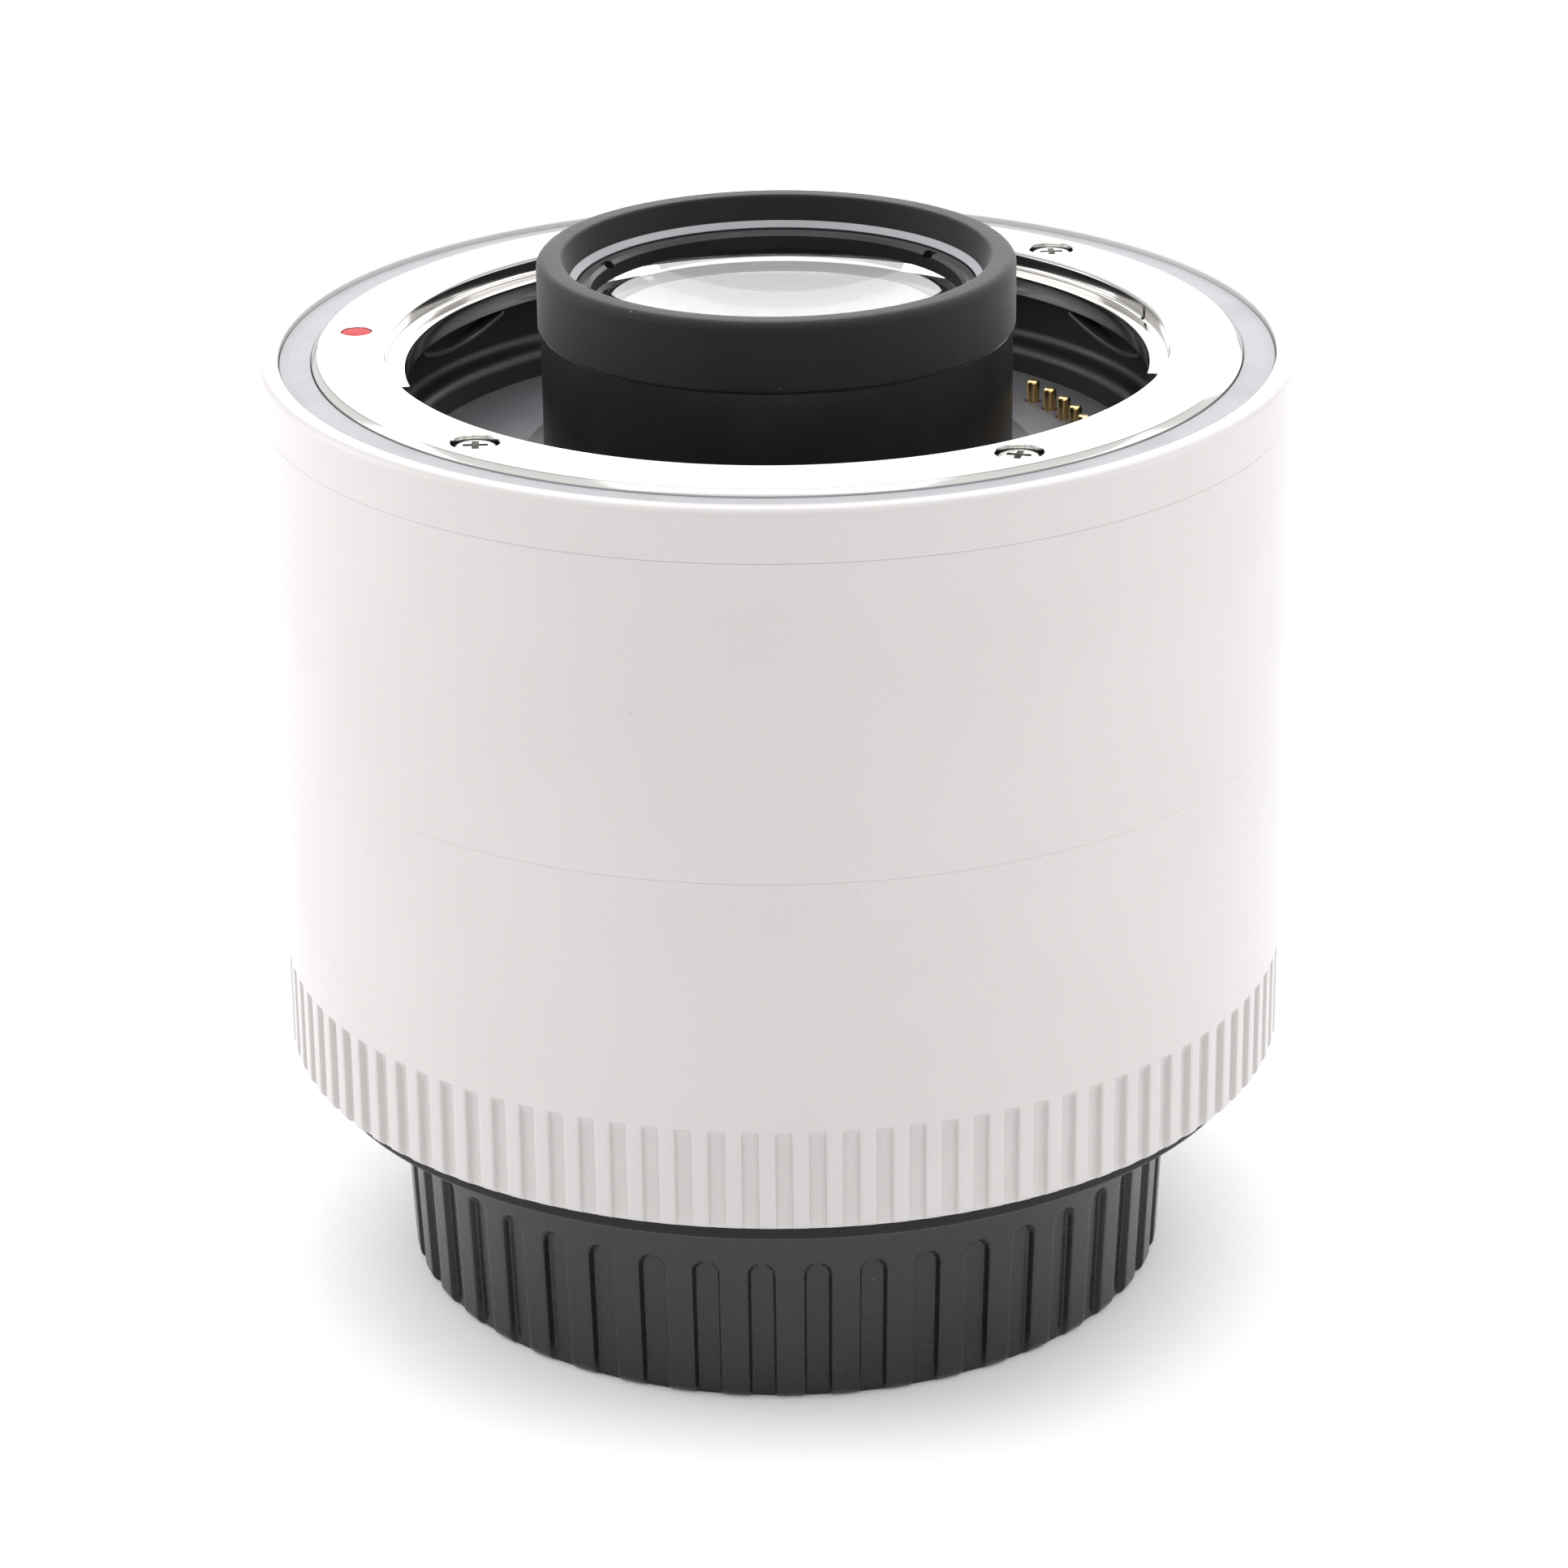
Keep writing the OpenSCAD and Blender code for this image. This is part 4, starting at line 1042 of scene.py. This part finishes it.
def columns_with_ends(count: int, ends: Sequence[Point], gap: float = 0.12) -> list[float]:
    """Directions of evenly spaced columns, of which two stand close together at each end of a claw.

    Args:
        count: Number of columns.
        ends: Start and end of each claw in degrees.
        gap: Angle on either side of an end.

    Returns:
        Directions in degrees, from 90 up.
    """
    step = 360.0 / count
    angles = [90.0 + step * k for k in range(count)]
    for end in (a for pair in ends for a in pair):
        k = math.floor(((end - 90.0) % 360.0) / step)
        base = 90.0 + ((end - 90.0) % 360.0)
        angles[k] = base - gap
        if k + 1 < count:
            angles[k + 1] = base + gap
    return angles


def clear_between(turning: Turning, ends: Sequence[Point], radius: float, heights: Point, outwards: bool) -> None:
    """Moves what lies between claws back to the wall that carries them.

    Args:
        turning: Piece whose outline holds a claw all round.
        ends: Start and end of each claw in degrees.
        radius: Radius of the wall.
        heights: Lower and upper height of the claws.
        outwards: Whether the claws stand out from the wall, instead of in.
    """
    free = [k for k, a in enumerate(turning.angles)
            if all((a - start) % 360.0 > end - start for start, end in ends)]
    low, high = heights
    rows = [i for i, (r, z) in enumerate(turning.outline)
            if (r > radius + 1e-4 if outwards else r < radius - 1e-4) and low - 1e-4 <= z <= high + 0.5]
    for n, row in enumerate(rows):
        share = (n + 0.5) / len(rows)
        turning.place(row, free, radius, low + share * (high - low) if outwards else high - share * (high - low))


@dataclass
class Shells:
    """The three white shells of the barrel, and the camera-side index."""

    inner_r: float = 34.6
    outer_r: float = 35.9
    bottom: float = 17.4
    grip_top: float = 24.8
    grip_edge: float = 0.8
    seam: float = 42.7
    front: float = 64.77
    rim: float = 68.37
    rim_edge: float = 0.55
    seam_chamfer: float = 0.06
    grooves: int = 100
    groove_w: float = 1.1
    groove_depth: float = 0.45
    runout_r: float = 1.5
    groove_soft: float = 0.07
    columns: tuple[float, ...] = (0.0, 0.25, 0.42, 0.5, 0.545, 0.59, 0.66, 0.85)
    grip_levels: tuple[float, ...] = (20.2, 22.2, 23.5, 23.75, 23.95, 24.15, 24.35, 24.5, 24.62, 24.72, 24.8, 25.1,
                                      28.0, 36.0)
    upper_level: float = 40.0
    slot_size: Point = (4.4, 4.8)
    slot_depth: float = 4.0
    slot_mid: float = 55.6
    index_height: float = 27.0
    index_r: float = 1.05

    def groove_floor(self, r: float, z: float, reach: float) -> float:
        """Radius of the grooved wall at a height and a distance from a groove's middle."""
        if r < self.inner_r + 0.05 or z > self.grip_top:
            return r
        deep = self.outer_r - self.groove_depth
        rise = z - (self.grip_top - math.sqrt(2 * self.runout_r * self.groove_depth - self.groove_depth ** 2))
        if rise > 0:
            deep += self.runout_r - math.sqrt(self.runout_r ** 2 - rise ** 2)
        share = 1 - soft_step(0.5 + (reach - self.groove_w / 2) / (2 * self.groove_soft))
        return r - max(0.0, r - deep) * share

    def grip(self) -> bpy.types.Object:
        """Builds the rear shell with its grooved grip.

        Returns:
            The piece.
        """
        ring = Grooved(self.grooves, 1.8, self.columns, self.outer_r)
        lower = rounded([(self.inner_r, self.bottom), (self.outer_r, self.bottom, self.grip_edge),
                         (self.outer_r, self.seam)], 6, False)[:-1]
        upper = rounded([(self.outer_r, self.upper_level), (self.outer_r, self.seam, self.seam_chamfer),
                         (self.inner_r, self.seam), (self.inner_r, self.bottom)], 3, False)[1:-1]
        wall = [(self.outer_r, z) for z in self.grip_levels]
        turning = Turning("rear_shell", lower + wall + upper, angles=ring.angles)
        ring.carve(turning, self.groove_floor)
        return turning.done()

    def build(self, book: FinishBook) -> None:
        """Builds the shells and the index dot.

        Args:
            book: Finishes.
        """
        rear = self.grip()
        cut(rear, self.index_disc("tool", self.index_r, self.outer_r - 0.3, self.outer_r + 0.5))
        book.dress(smooth(rear, 38.0), Slot.WHITE_PAINT, "rear_barrel")
        dot = self.index_disc("camera_index", self.index_r - 0.03, self.outer_r - 0.3, self.outer_r - 0.06)
        book.dress(smooth(bevel(dot, 0.06, 2)), Slot.RED_PAINT, "camera_index_dot")
        main = turned("main_shell", [(self.inner_r, self.seam), (self.outer_r, self.seam),
                                     (self.outer_r, self.front, self.seam_chamfer), (self.inner_r, self.front)], 360)
        width, height = self.slot_size
        slot = block("tool", (0, self.outer_r - 0.5, self.slot_mid), (width, self.slot_depth, height))
        cut(main, bevel(slot, 0.5))
        book.dress(smooth(main), Slot.WHITE_PAINT, "main_barrel")
        ring = turned("front_shell", [(self.inner_r, self.front), (self.outer_r, self.front, self.seam_chamfer),
                                      (self.outer_r, self.rim, self.rim_edge), (self.inner_r, self.rim, 0.12)], 360, 6)
        book.dress(smooth(ring), Slot.WHITE_PAINT, "front_ring")

    def index_disc(self, name: str, radius: float, inner: float, outer: float) -> bpy.types.Object:
        """Makes the disc of the camera-side index.

        Args:
            name: Name of the piece.
            radius: Radius of the disc.
            inner: Distance of its inner face from the axis.
            outer: Distance of its outer face.

        Returns:
            The piece.
        """
        deselect_all()
        bpy.ops.mesh.primitive_cylinder_add(vertices=64, radius=radius, depth=outer - inner,
                                            location=(-(inner + outer) / 2, 0, self.index_height),
                                            rotation=(0, math.pi / 2, 0))
        return settle(name)


@dataclass
class LensMount:
    """Lens-side flange with claws, screws, index dot, leaf springs and the grey ring round it."""

    throat_r: float = 27.2
    ring_r: float = 32.3
    claw_r: float = 25.85
    base: float = 65.8
    claw_top: float = 67.3
    face: float = 68.5
    bevel: float = 0.4
    chamfer: float = 0.2
    claw_angles: tuple[float, ...] = (165.4, 277.0, 28.5)
    claw_span: float = 68.0
    screw_r: float = 29.6
    screw_angles: tuple[float, ...] = (52.5, 126.5, 233.5, 307.5)
    head_r: float = 1.4
    head_h: float = 1.4
    head_top: float = 68.3
    cross: Colour = (1.9, 0.55, 2.4)
    cross_taper: float = 0.75
    bore_r: float = 1.6
    index_r: float = 1.1
    lock_r: float = 30.0
    lock_bore_r: float = 1.32
    trim_radii: Point = (32.35, 34.55)
    trim_top: float = 68.0
    leaf_radii: Point = (25.9, 27.15)
    leaf_t: float = 0.3
    leaf_bow: float = 1.2
    leaf_len: float = 12.0
    leaf_angles: tuple[float, ...] = (158.0, 277.0, 28.5)
    stop_angle: float = 22.0
    stop_w: float = 0.5
    stop_heights: Point = (67.3, 68.3)

    def ring(self) -> bpy.types.Object:
        """Builds the flange.

        Returns:
            The piece.
        """
        outline = rounded([(self.ring_r, self.base), (self.ring_r, self.face - self.bevel, 0.06),
                           (self.ring_r - self.bevel, self.face, 0.06),
                           (self.throat_r + self.chamfer, self.face, 0.05),
                           (self.throat_r, self.face - self.chamfer, 0.1),
                           (self.throat_r, self.claw_top, 0.28), (self.claw_r, self.claw_top, 0.14),
                           (self.claw_r, self.base, 0.08)], 4)
        ends = [(a - self.claw_span / 2, a + self.claw_span / 2) for a in self.claw_angles]
        turning = Turning("lens_flange", outline, angles=columns_with_ends(720, ends))
        clear_between(turning, ends, self.throat_r, (self.base, self.claw_top), outwards=False)
        ring = turning.done()
        screw = drill(self.bore_r, self.head_top - 1.0, self.face, 0.1, 64)
        index = drill(self.index_r, self.face - 0.3, self.face, 0.05, 64)
        lock = drill(self.lock_bore_r, self.base - 0.5, self.face, 0.15, 64)
        low, high = self.stop_heights
        stop = block("tool", (self.throat_r, 0, (low + high) / 2), (self.stop_w, self.stop_w, high - low))
        cut(ring, *ring_of(screw, self.screw_r, self.screw_angles), move_to(index, self.screw_r, 180.0),
            move_to(lock, self.lock_r, 90.0), move_to(stop, 0.0, self.stop_angle))
        return ring

    def screws(self) -> bpy.types.Object:
        """Builds one cross-recess screw and copies it.

        Returns:
            The four screws as one piece.
        """
        bottom = self.head_top - self.head_h
        screw = turned("flange_screws", [(0.0, bottom - 4.0), (0.8, bottom - 4.0, 0.2), (0.8, bottom),
                                         (self.head_r, bottom, 0.08), (self.head_r, self.head_top - 0.12, 0.16),
                                         (self.head_r - 0.35, self.head_top), (0.0, self.head_top)], 64)
        for turn in (45.0, 135.0):
            tool = block("tool", (0, 0, self.head_top), self.cross, turn)
            bpy.ops.object.mode_set(mode="EDIT")
            bpy.ops.mesh.select_all(action="DESELECT")
            mesh = bmesh.from_edit_mesh(tool.data)
            for point in mesh.verts:
                point.select = point.co.z < self.head_top
            mesh.select_flush_mode()
            bpy.ops.transform.resize(value=(self.cross_taper, self.cross_taper, 1), center_override=AXIS)
            bpy.ops.object.mode_set(mode="OBJECT")
            cut(screw, tool)
        return join("flange_screws", ring_of(screw, self.screw_r, self.screw_angles))

    def springs(self) -> bpy.types.Object:
        """Builds one bowed leaf and copies it.

        Returns:
            The three leaves as one piece.
        """
        mid_r = sum(self.leaf_radii) / 2
        bow_r = (self.leaf_len ** 2 / 4 + self.leaf_bow ** 2) / (2 * self.leaf_bow)
        low = self.base - self.leaf_bow - self.leaf_t
        span = math.degrees((self.leaf_len - 0.5) / mid_r)
        leaf = sector("leaf_springs", self.leaf_radii, (low, low + self.leaf_t), 0.0, span, 48)

        def bow(x: float, y: float, z: float) -> float:
            """Lift of a point of the leaf."""
            return bow_r - math.sqrt(bow_r ** 2 - (mid_r * math.atan2(y, x)) ** 2)

        shift_points(leaf, bow)
        return join("leaf_springs", ring_of(bevel(leaf, 0.06, 2), 0.0, self.leaf_angles))

    def build(self, book: FinishBook) -> None:
        """Builds the mount.

        Args:
            book: Finishes.
        """
        book.dress(smooth(self.ring()), Slot.BRIGHT_PLATE, "lens_mount_ring")
        book.dress(smooth(self.screws()), Slot.SCREW_STEEL, "lens_mount_screws")
        book.dress(smooth(self.springs()), Slot.DARK_SPRING, "mount_springs")
        dot = turned("lens_index", [(0.0, self.face - 0.3), (self.index_r - 0.05, self.face - 0.3),
                                    (self.index_r - 0.05, self.face - 0.06, 0.08), (0.0, self.face - 0.04)], 64)
        book.dress(smooth(move_to(dot, self.screw_r, 180.0)), Slot.RED_PAINT, "lens_index_dot")
        low, high = self.trim_radii
        trim = turned("grey_ring", [(low, self.base), (high, self.base), (high, self.trim_top, 0.12),
                                    (low, self.trim_top, 0.12)], 360)
        book.dress(smooth(trim), Slot.GREY_SATIN, "trim_ring")


@dataclass
class Well:
    """Wall, ledge and floor of the bayonet well, with the contact pins."""

    ledge_r: float = 25.75
    inner_r: float = 27.7
    outer_r: float = 28.2
    bottom: float = 60.0
    ledge: float = 61.9
    top: float = 65.8
    floor_radii: Point = (18.2, 32.4)
    floor_under: float = 58.5
    pin_r: float = 22.0
    pin_mid: float = 9.65
    pin_pitch: float = 5.7556
    pin_count: int = 11
    pin_radius: float = 0.475
    pin_bore_r: float = 0.56
    pin_tip: float = 61.5
    pin_end: float = 54.6
    tail_r: float = 0.3
    collar_r: float = 0.75
    collar: Point = (57.8, 58.4)
    lock_r: float = 30.0
    lock_bore_r: float = 1.4

    def pin_angles(self) -> list[float]:
        """Directions of the contact pins in degrees."""
        middle = (self.pin_count + 1) / 2
        return [self.pin_mid + (middle - i) * self.pin_pitch for i in range(1, self.pin_count + 1)]

    def build(self, book: FinishBook) -> None:
        """Builds the well and the pins.

        Args:
            book: Finishes.
        """
        wall = turned("well_wall", [(self.ledge_r, self.bottom), (self.outer_r, self.bottom), (self.outer_r, self.top),
                                    (self.inner_r, self.top, 0.1), (self.inner_r, self.ledge, 0.85),
                                    (self.ledge_r, self.ledge, 0.75)], 360, 8)
        book.dress(smooth(wall), Slot.BLACK_PLASTIC, "bayonet_well")
        low, high = self.floor_radii
        plate = turned("well_floor", [(low, self.floor_under), (high, self.floor_under), (high, self.bottom),
                                      (low, self.bottom, 0.12)], 360)
        under = self.floor_under - 0.5
        bore = drill(self.pin_bore_r, under, self.bottom, 0.08)
        lock = drill(self.lock_bore_r, under, self.bottom + 0.5)
        cut(plate, *ring_of(bore, self.pin_r, self.pin_angles()), move_to(lock, self.lock_r, 90.0))
        book.dress(smooth(plate), Slot.FLOOR_GREY, "floor_plate")
        low, high = self.collar
        pin = turned("contact", [(0.0, self.pin_end), (self.tail_r, self.pin_end, 0.1), (self.tail_r, low),
                                 (self.collar_r, low, 0.1), (self.collar_r, high, 0.1), (self.pin_radius, high),
                                 (self.pin_radius, self.pin_tip, 0.46), (0.0, self.pin_tip)], 48, 8)
        for i, piece in enumerate(ring_of(pin, self.pin_r, self.pin_angles()), 1):
            piece.name = f"contact_{i}"
            book.dress(smooth(piece, 40.0), Slot.GOLD, f"contact_pin_{i}", body=f"pin_{i}")


@dataclass
class Nose:
    """Front lens tube with its rubber tip, retaining ring and front glass."""

    clear_r: float = 12.9
    spigot_r: float = 15.0
    tube_r: float = 16.4
    bore_r: float = 13.95
    seat_r: float = 15.55
    spigot: float = 54.3
    collar: float = 60.3
    shoulder: float = 69.9
    rim: float = 72.95
    glass_bottom: float = 66.6
    glass_seat: float = 71.25
    glass_dip: float = 2.6
    glass_r: float = 13.9
    tip_r: float = 16.6
    tip_bore_r: float = 14.45
    tip_lip_r: float = 14.85
    tip: float = 74.7
    tip_edge: float = 0.6
    retainer_top: float = 72.45
    rim_chamfer: float = 0.4
    notch_angles: tuple[float, ...] = (40.0, 160.0, 280.0)
    notch: Point = (0.6, 1.0)

    def glass_outline(self) -> list[Point]:
        """Outline of the front glass, whose two faces dip alike towards the middle."""
        steps = [self.clear_r * k / 14 for k in range(15)]
        dips = [(r, self.glass_dip * (1 - (r / self.clear_r) ** 2)) for r in steps]
        front = [(r, self.glass_seat - dip) for r, dip in dips]
        back = [(r, self.glass_bottom + self.glass_dip - dip) for r, dip in dips]
        rim = [(self.glass_r, self.glass_bottom + self.glass_dip), (self.glass_r, self.glass_seat)]
        return back + rim + front[::-1]

    def build(self, book: FinishBook) -> None:
        """Builds the nose.

        Args:
            book: Finishes.
        """
        tube = turned("nose_tube", [(self.clear_r, self.spigot), (self.spigot_r, self.spigot),
                                    (self.spigot_r, self.collar), (self.tube_r, self.collar),
                                    (self.tube_r, self.shoulder - 0.2), (self.tube_r - 0.2, self.shoulder),
                                    (self.seat_r, self.shoulder), (self.seat_r, self.rim),
                                    (self.bore_r + self.rim_chamfer + 0.05, self.rim),
                                    (self.bore_r, self.rim - self.rim_chamfer - 0.05),
                                    (self.bore_r, self.glass_bottom), (self.clear_r, self.glass_bottom)])
        book.dress(smooth(tube), Slot.BLACK_METAL, "nose_barrel")
        # A grey satin ring on the bore's chamfer stands for the reflection of the black chamfer: painted highlight.
        low, high = self.rim - self.rim_chamfer, self.bore_r + self.rim_chamfer
        edge = turned("nose_rim_painted_highlight", [(self.bore_r, low), (high, self.rim), (high + 0.05, self.rim - 0.02),
                                        (self.bore_r + 0.02, low - 0.05)])
        book.dress(smooth(edge), Slot.GREY_SATIN)
        rubber = turned("rubber_tip", [(self.seat_r + 0.05, self.rim), (self.seat_r + 0.05, self.shoulder),
                                       (self.tip_r, self.shoulder, 0.15), (self.tip_r, self.tip, self.tip_edge),
                                       (self.tip_lip_r, self.tip, 0.22), (self.tip_bore_r, self.rim)], 256, 8)
        book.dress(smooth(rubber), Slot.RUBBER, "nose_bumper")
        ring = turned("glass_retainer", [(self.clear_r, self.glass_seat), (self.glass_r, self.glass_seat),
                                         (self.glass_r, self.retainer_top, 0.08),
                                         (self.clear_r + 0.25, self.retainer_top),
                                         (self.clear_r, self.retainer_top - 0.25)])
        depth, width = self.notch
        for angle in self.notch_angles:
            tool = block("tool", (self.clear_r, 0, self.retainer_top), (2 * depth, width, 1.0))
            cut(ring, move_to(tool, 0.0, angle))
        book.dress(smooth(ring), Slot.BLACK_METAL, "front_retainer")
        glass = Turning("front_glass", self.glass_outline(), 160).done()
        book.dress(smooth(glass), Slot.GLASS, "lens_group_1")


@dataclass
class Release:
    """Thumb slide of the lens release, and its lock pin."""

    angle: float = 90.0
    radii: Point = (36.1, 37.3)
    heights: Point = (53.6, 61.6)
    span: float = 15.5
    ridges: int = 4
    ridge_r: float = 37.6
    ridge_h: float = 0.7
    stem_w: float = 4.0
    stem_heights: Point = (55.4, 57.8)
    stem_in_r: float = 31.3
    stem_overlap: float = 0.3
    pin_r: float = 1.2
    pin_place: float = 30.0
    pin_heights: Point = (47.1, 70.1)
    pin_tip: float = 0.4

    def build(self, book: FinishBook) -> None:
        """Builds the slide and the pin.

        Args:
            book: Finishes.
        """
        plate = sector("release_slide", self.radii, self.heights, self.angle, self.span, 28)
        pieces = [bevel(plate, 0.3)]
        low, high = self.heights
        for i in range(self.ridges):
            mid = low + (high - low) * (i + 0.5) / self.ridges
            ridge = sector("ridge", (self.radii[1] - 0.2, self.ridge_r),
                           (mid - self.ridge_h / 2, mid + self.ridge_h / 2), self.angle, self.span - 1.0, 28)
            pieces.append(bevel(ridge, 0.25))
        low, high = self.stem_heights
        stem_r = self.radii[0] + self.stem_overlap
        stem = block("stem", (0, (self.stem_in_r + stem_r) / 2, (low + high) / 2),
                     (self.stem_w, stem_r - self.stem_in_r, high - low))
        slide = join("release_slide", pieces + [bevel(stem, 0.2, 3)])
        book.dress(smooth(slide), Slot.BLACK_PLASTIC, "release_lever", body=Body.RELEASE.value)
        pin = turned("locking_pin", [(0.0, self.pin_heights[0]), (self.pin_r, self.pin_heights[0], 0.2),
                                     (self.pin_r, self.pin_heights[1], self.pin_tip), (0.0, self.pin_heights[1])], 64)
        move_to(pin, self.pin_place, self.angle)
        book.dress(smooth(pin), Slot.SCREW_STEEL, "lock_pin", body=Body.RELEASE.value)


@dataclass
class Coils:
    """Coil springs under the contact pins and round the lock pin."""

    well: Well = field(default_factory=Well)
    pin_coil_r: float = 0.62
    pin_wire_r: float = 0.1
    pin_turns: int = 5
    pin_travel: float = 0.8
    lock_place: float = 30.0
    lock_angle: float = 90.0
    lock_wire_r: float = 0.25
    lock_turns: int = 5
    lock_travel: float = 2.0

    def coil(self, name: str, radius: float, wire: float, turns: int, heights: Point) -> bpy.types.Object:
        """Winds a round wire about the axis.

        Args:
            name: Name of the piece.
            radius: Radius of the wire's middle line.
            wire: Radius of the wire.
            turns: Number of turns.
            heights: Lower and upper end.

        Returns:
            The piece.
        """
        deselect_all()
        bpy.ops.mesh.primitive_circle_add(vertices=10, radius=wire, location=(radius, 0, heights[0] + wire),
                                          rotation=(math.pi / 2, 0, 0))
        piece = settle(name)
        rise = (heights[1] - heights[0] - 2 * wire) / turns
        apply_modifier(piece, "SCREW", {"screw_offset": rise, "iterations": turns, "steps": 24, "render_steps": 24})
        bpy.ops.object.mode_set(mode="EDIT")
        close_up(fill=True)
        return piece

    def press(self, piece: bpy.types.Object, travel: float) -> None:
        """Gives a coil a mesh of its own."""
        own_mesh(piece)

    def build(self, book: FinishBook) -> None:
        """Builds the springs at the places of their nodes.

        Args:
            book: Finishes.
        """
        low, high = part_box("contact_springs")
        heights = (low[2] / MM, high[2] / MM)
        first = self.coil("pin_spring", self.pin_coil_r, self.pin_wire_r, self.pin_turns, heights)
        for i, piece in enumerate(ring_of(first, self.well.pin_r, self.well.pin_angles()), 1):
            piece.name = f"pin_spring_{i}"
            book.dress(smooth(piece, 60.0), Slot.GOLD, "contact_springs")
            self.press(piece, self.pin_travel)
        low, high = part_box("lock_spring")
        heights = (low[2] / MM, high[2] / MM)
        radius = (high[0] - low[0]) / MM / 2 - self.lock_wire_r
        piece = self.coil("lock_coil", radius, self.lock_wire_r, self.lock_turns, heights)
        move_to(piece, self.lock_place, self.lock_angle)
        book.dress(smooth(piece, 60.0), Slot.DARK_SPRING, "lock_spring")
        self.press(piece, self.lock_travel)


@dataclass
class Inside:
    """Nodes of the frame that keep their own shape."""

    nodes: dict[Slot, tuple[str, ...]] = field(default_factory=lambda: {
        Slot.SCREW_STEEL: ("camera_mount_screws", "frame_screws", "cell_screws", "lever_bracket"),
        Slot.BLACK_PLASTIC: ("contact_block", "rear_contact_block", "rear_baffle", "lever_guide"),
        Slot.BLACK_METAL: ("front_frame", "chassis", "lens_cell", "rear_retainer", "lens_spacers"),
        Slot.GOLD: ("rear_contacts",),
        Slot.FLEX_FILM: ("contact_flex",),
        Slot.BOARD: ("circuit_board",),
        Slot.GLASS: ("lens_group_2", "lens_group_3", "lens_group_4", "lens_group_5"),
    })

    def build(self, book: FinishBook) -> None:
        """Dresses the nodes.

        Args:
            book: Finishes.
        """
        for slot, names in self.nodes.items():
            for name in names:
                book.dress_node(name, slot)


@dataclass(frozen=True)
class Panel:
    """A soft light panel, aimed at the object."""

    name: str
    place: tuple[float, float, float]
    size: Point
    level: float
    only_mirrored: bool = False


@dataclass
class Studio:
    """Floor, soft light and camera."""

    floor_size: float = 8.0
    floor_colour: Colour = (0.93, 0.93, 0.935)
    floor_lift: float = 0.36
    sky: float = 0.78
    target: tuple[float, float, float] = (0.0, 0.0, 0.04)
    panels: tuple[Panel, ...] = (
        Panel("overhead", (0.0, 0.05, 0.95), (0.9, 0.9), 0.8),
        Panel("back_panel", (0.06, 0.97, 0.46), (1.2, 0.85), 0.7),
        Panel("back_card", (0.05, 0.80, 0.62), (1.3, 1.5), 1.6, True),
        Panel("left_panel", (-0.85, 0.10, 0.34), (0.6, 0.65), 2.4),
        Panel("right_panel", (0.85, 0.15, 0.34), (0.6, 0.65), 1.6),
    )
    camera_place: tuple[float, float, float] = (0.03289, -0.33539, 0.17312)
    camera_turn: float = 5.5735
    camera_tilt: float = 67.721
    camera_roll: float = -0.61
    focal: float = 116.05

    def build(self) -> None:
        """Builds the stage."""
        self.lay_floor()
        self.light()
        self.set_camera()
        bpy.context.scene.view_settings.view_transform = "Standard"

    def lay_floor(self) -> None:
        """Lays the pale floor."""
        deselect_all()
        bpy.ops.mesh.primitive_plane_add(size=self.floor_size)
        floor = bpy.context.object
        floor.name = "studio_floor"
        sheet = Sheet(bpy.data.materials.new("studio_floor"))
        sheet.tree.nodes.remove(sheet.shader)
        plain = sheet.node("ShaderNodeBsdfDiffuse", {}, {"Color": self.floor_colour})
        lift = sheet.node("ShaderNodeBsdfDiffuse", {}, {"Color": (self.floor_lift,) * 3})
        shown = sheet.node("ShaderNodeAddShader", {}, {0: plain, 1: lift})
        both = sheet.node("ShaderNodeMixShader", {}, {0: sheet.seen(), 1: plain, 2: shown})
        sheet.feed(sheet.tree.nodes["Material Output"].inputs["Surface"], both)
        floor.data.materials.append(sheet.owner)

    def light(self) -> None:
        """Sets up the sky and the panels."""
        world = bpy.data.worlds.new("studio")
        bpy.context.scene.world = world
        sheet = Sheet(world)
        back = sheet.tree.nodes["Background"]
        level = sheet.node("ShaderNodeMapRange", {}, {"Value": sheet.seen(), "To Min": self.sky, "To Max": 1.0})
        sheet.feed(back.inputs["Strength"], level)
        sheet.feed(back.inputs["Color"], (1.0, 1.0, 1.0))
        for panel in self.panels:
            self.hang(panel)

    def hang(self, panel: Panel) -> None:
        """Hangs one panel.

        Args:
            panel: The panel.
        """
        deselect_all()
        bpy.ops.object.light_add(type="AREA", location=panel.place)
        lamp = bpy.context.object
        lamp.name = panel.name
        lamp.data.shape = "RECTANGLE"
        lamp.data.size, lamp.data.size_y = panel.size
        lamp.data.energy = panel.level * math.pi * panel.size[0] * panel.size[1]
        aim = Vector(self.target) - lamp.location
        lamp.rotation_euler = aim.to_track_quat("-Z", "Y").to_euler()
        lamp.visible_camera = False
        lamp.visible_diffuse = not panel.only_mirrored

    def set_camera(self) -> None:
        """Sets up the camera at the photograph's angle."""
        deselect_all()
        bpy.ops.object.camera_add()
        camera = bpy.context.object
        camera.name = "photo_camera"
        camera.data.lens = self.focal
        camera.data.sensor_width = 36.0
        camera.data.clip_start = 0.01
        camera.matrix_world = (Matrix.Translation(self.camera_place)
                               @ Matrix.Rotation(math.radians(self.camera_turn), 4, "Z")
                               @ Matrix.Rotation(math.radians(self.camera_tilt), 4, "X")
                               @ Matrix.Rotation(math.radians(self.camera_roll), 4, "Z"))
        bpy.context.scene.camera = camera


def main() -> None:
    """Builds the stage and the object."""
    logging.basicConfig(level=logging.INFO, format="%(name)s: %(message)s")
    Studio().build()
    book = FinishBook(FINISHES)
    for assembly in (RearCap(), CameraMount(), Shells(), LensMount(), Well(), Nose(), Release(), Coils(), Inside()):
        LOG.info("building %s", type(assembly).__name__)
        assembly.build(book)
    deselect_all()
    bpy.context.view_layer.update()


if __name__ == "__main__":
    main()
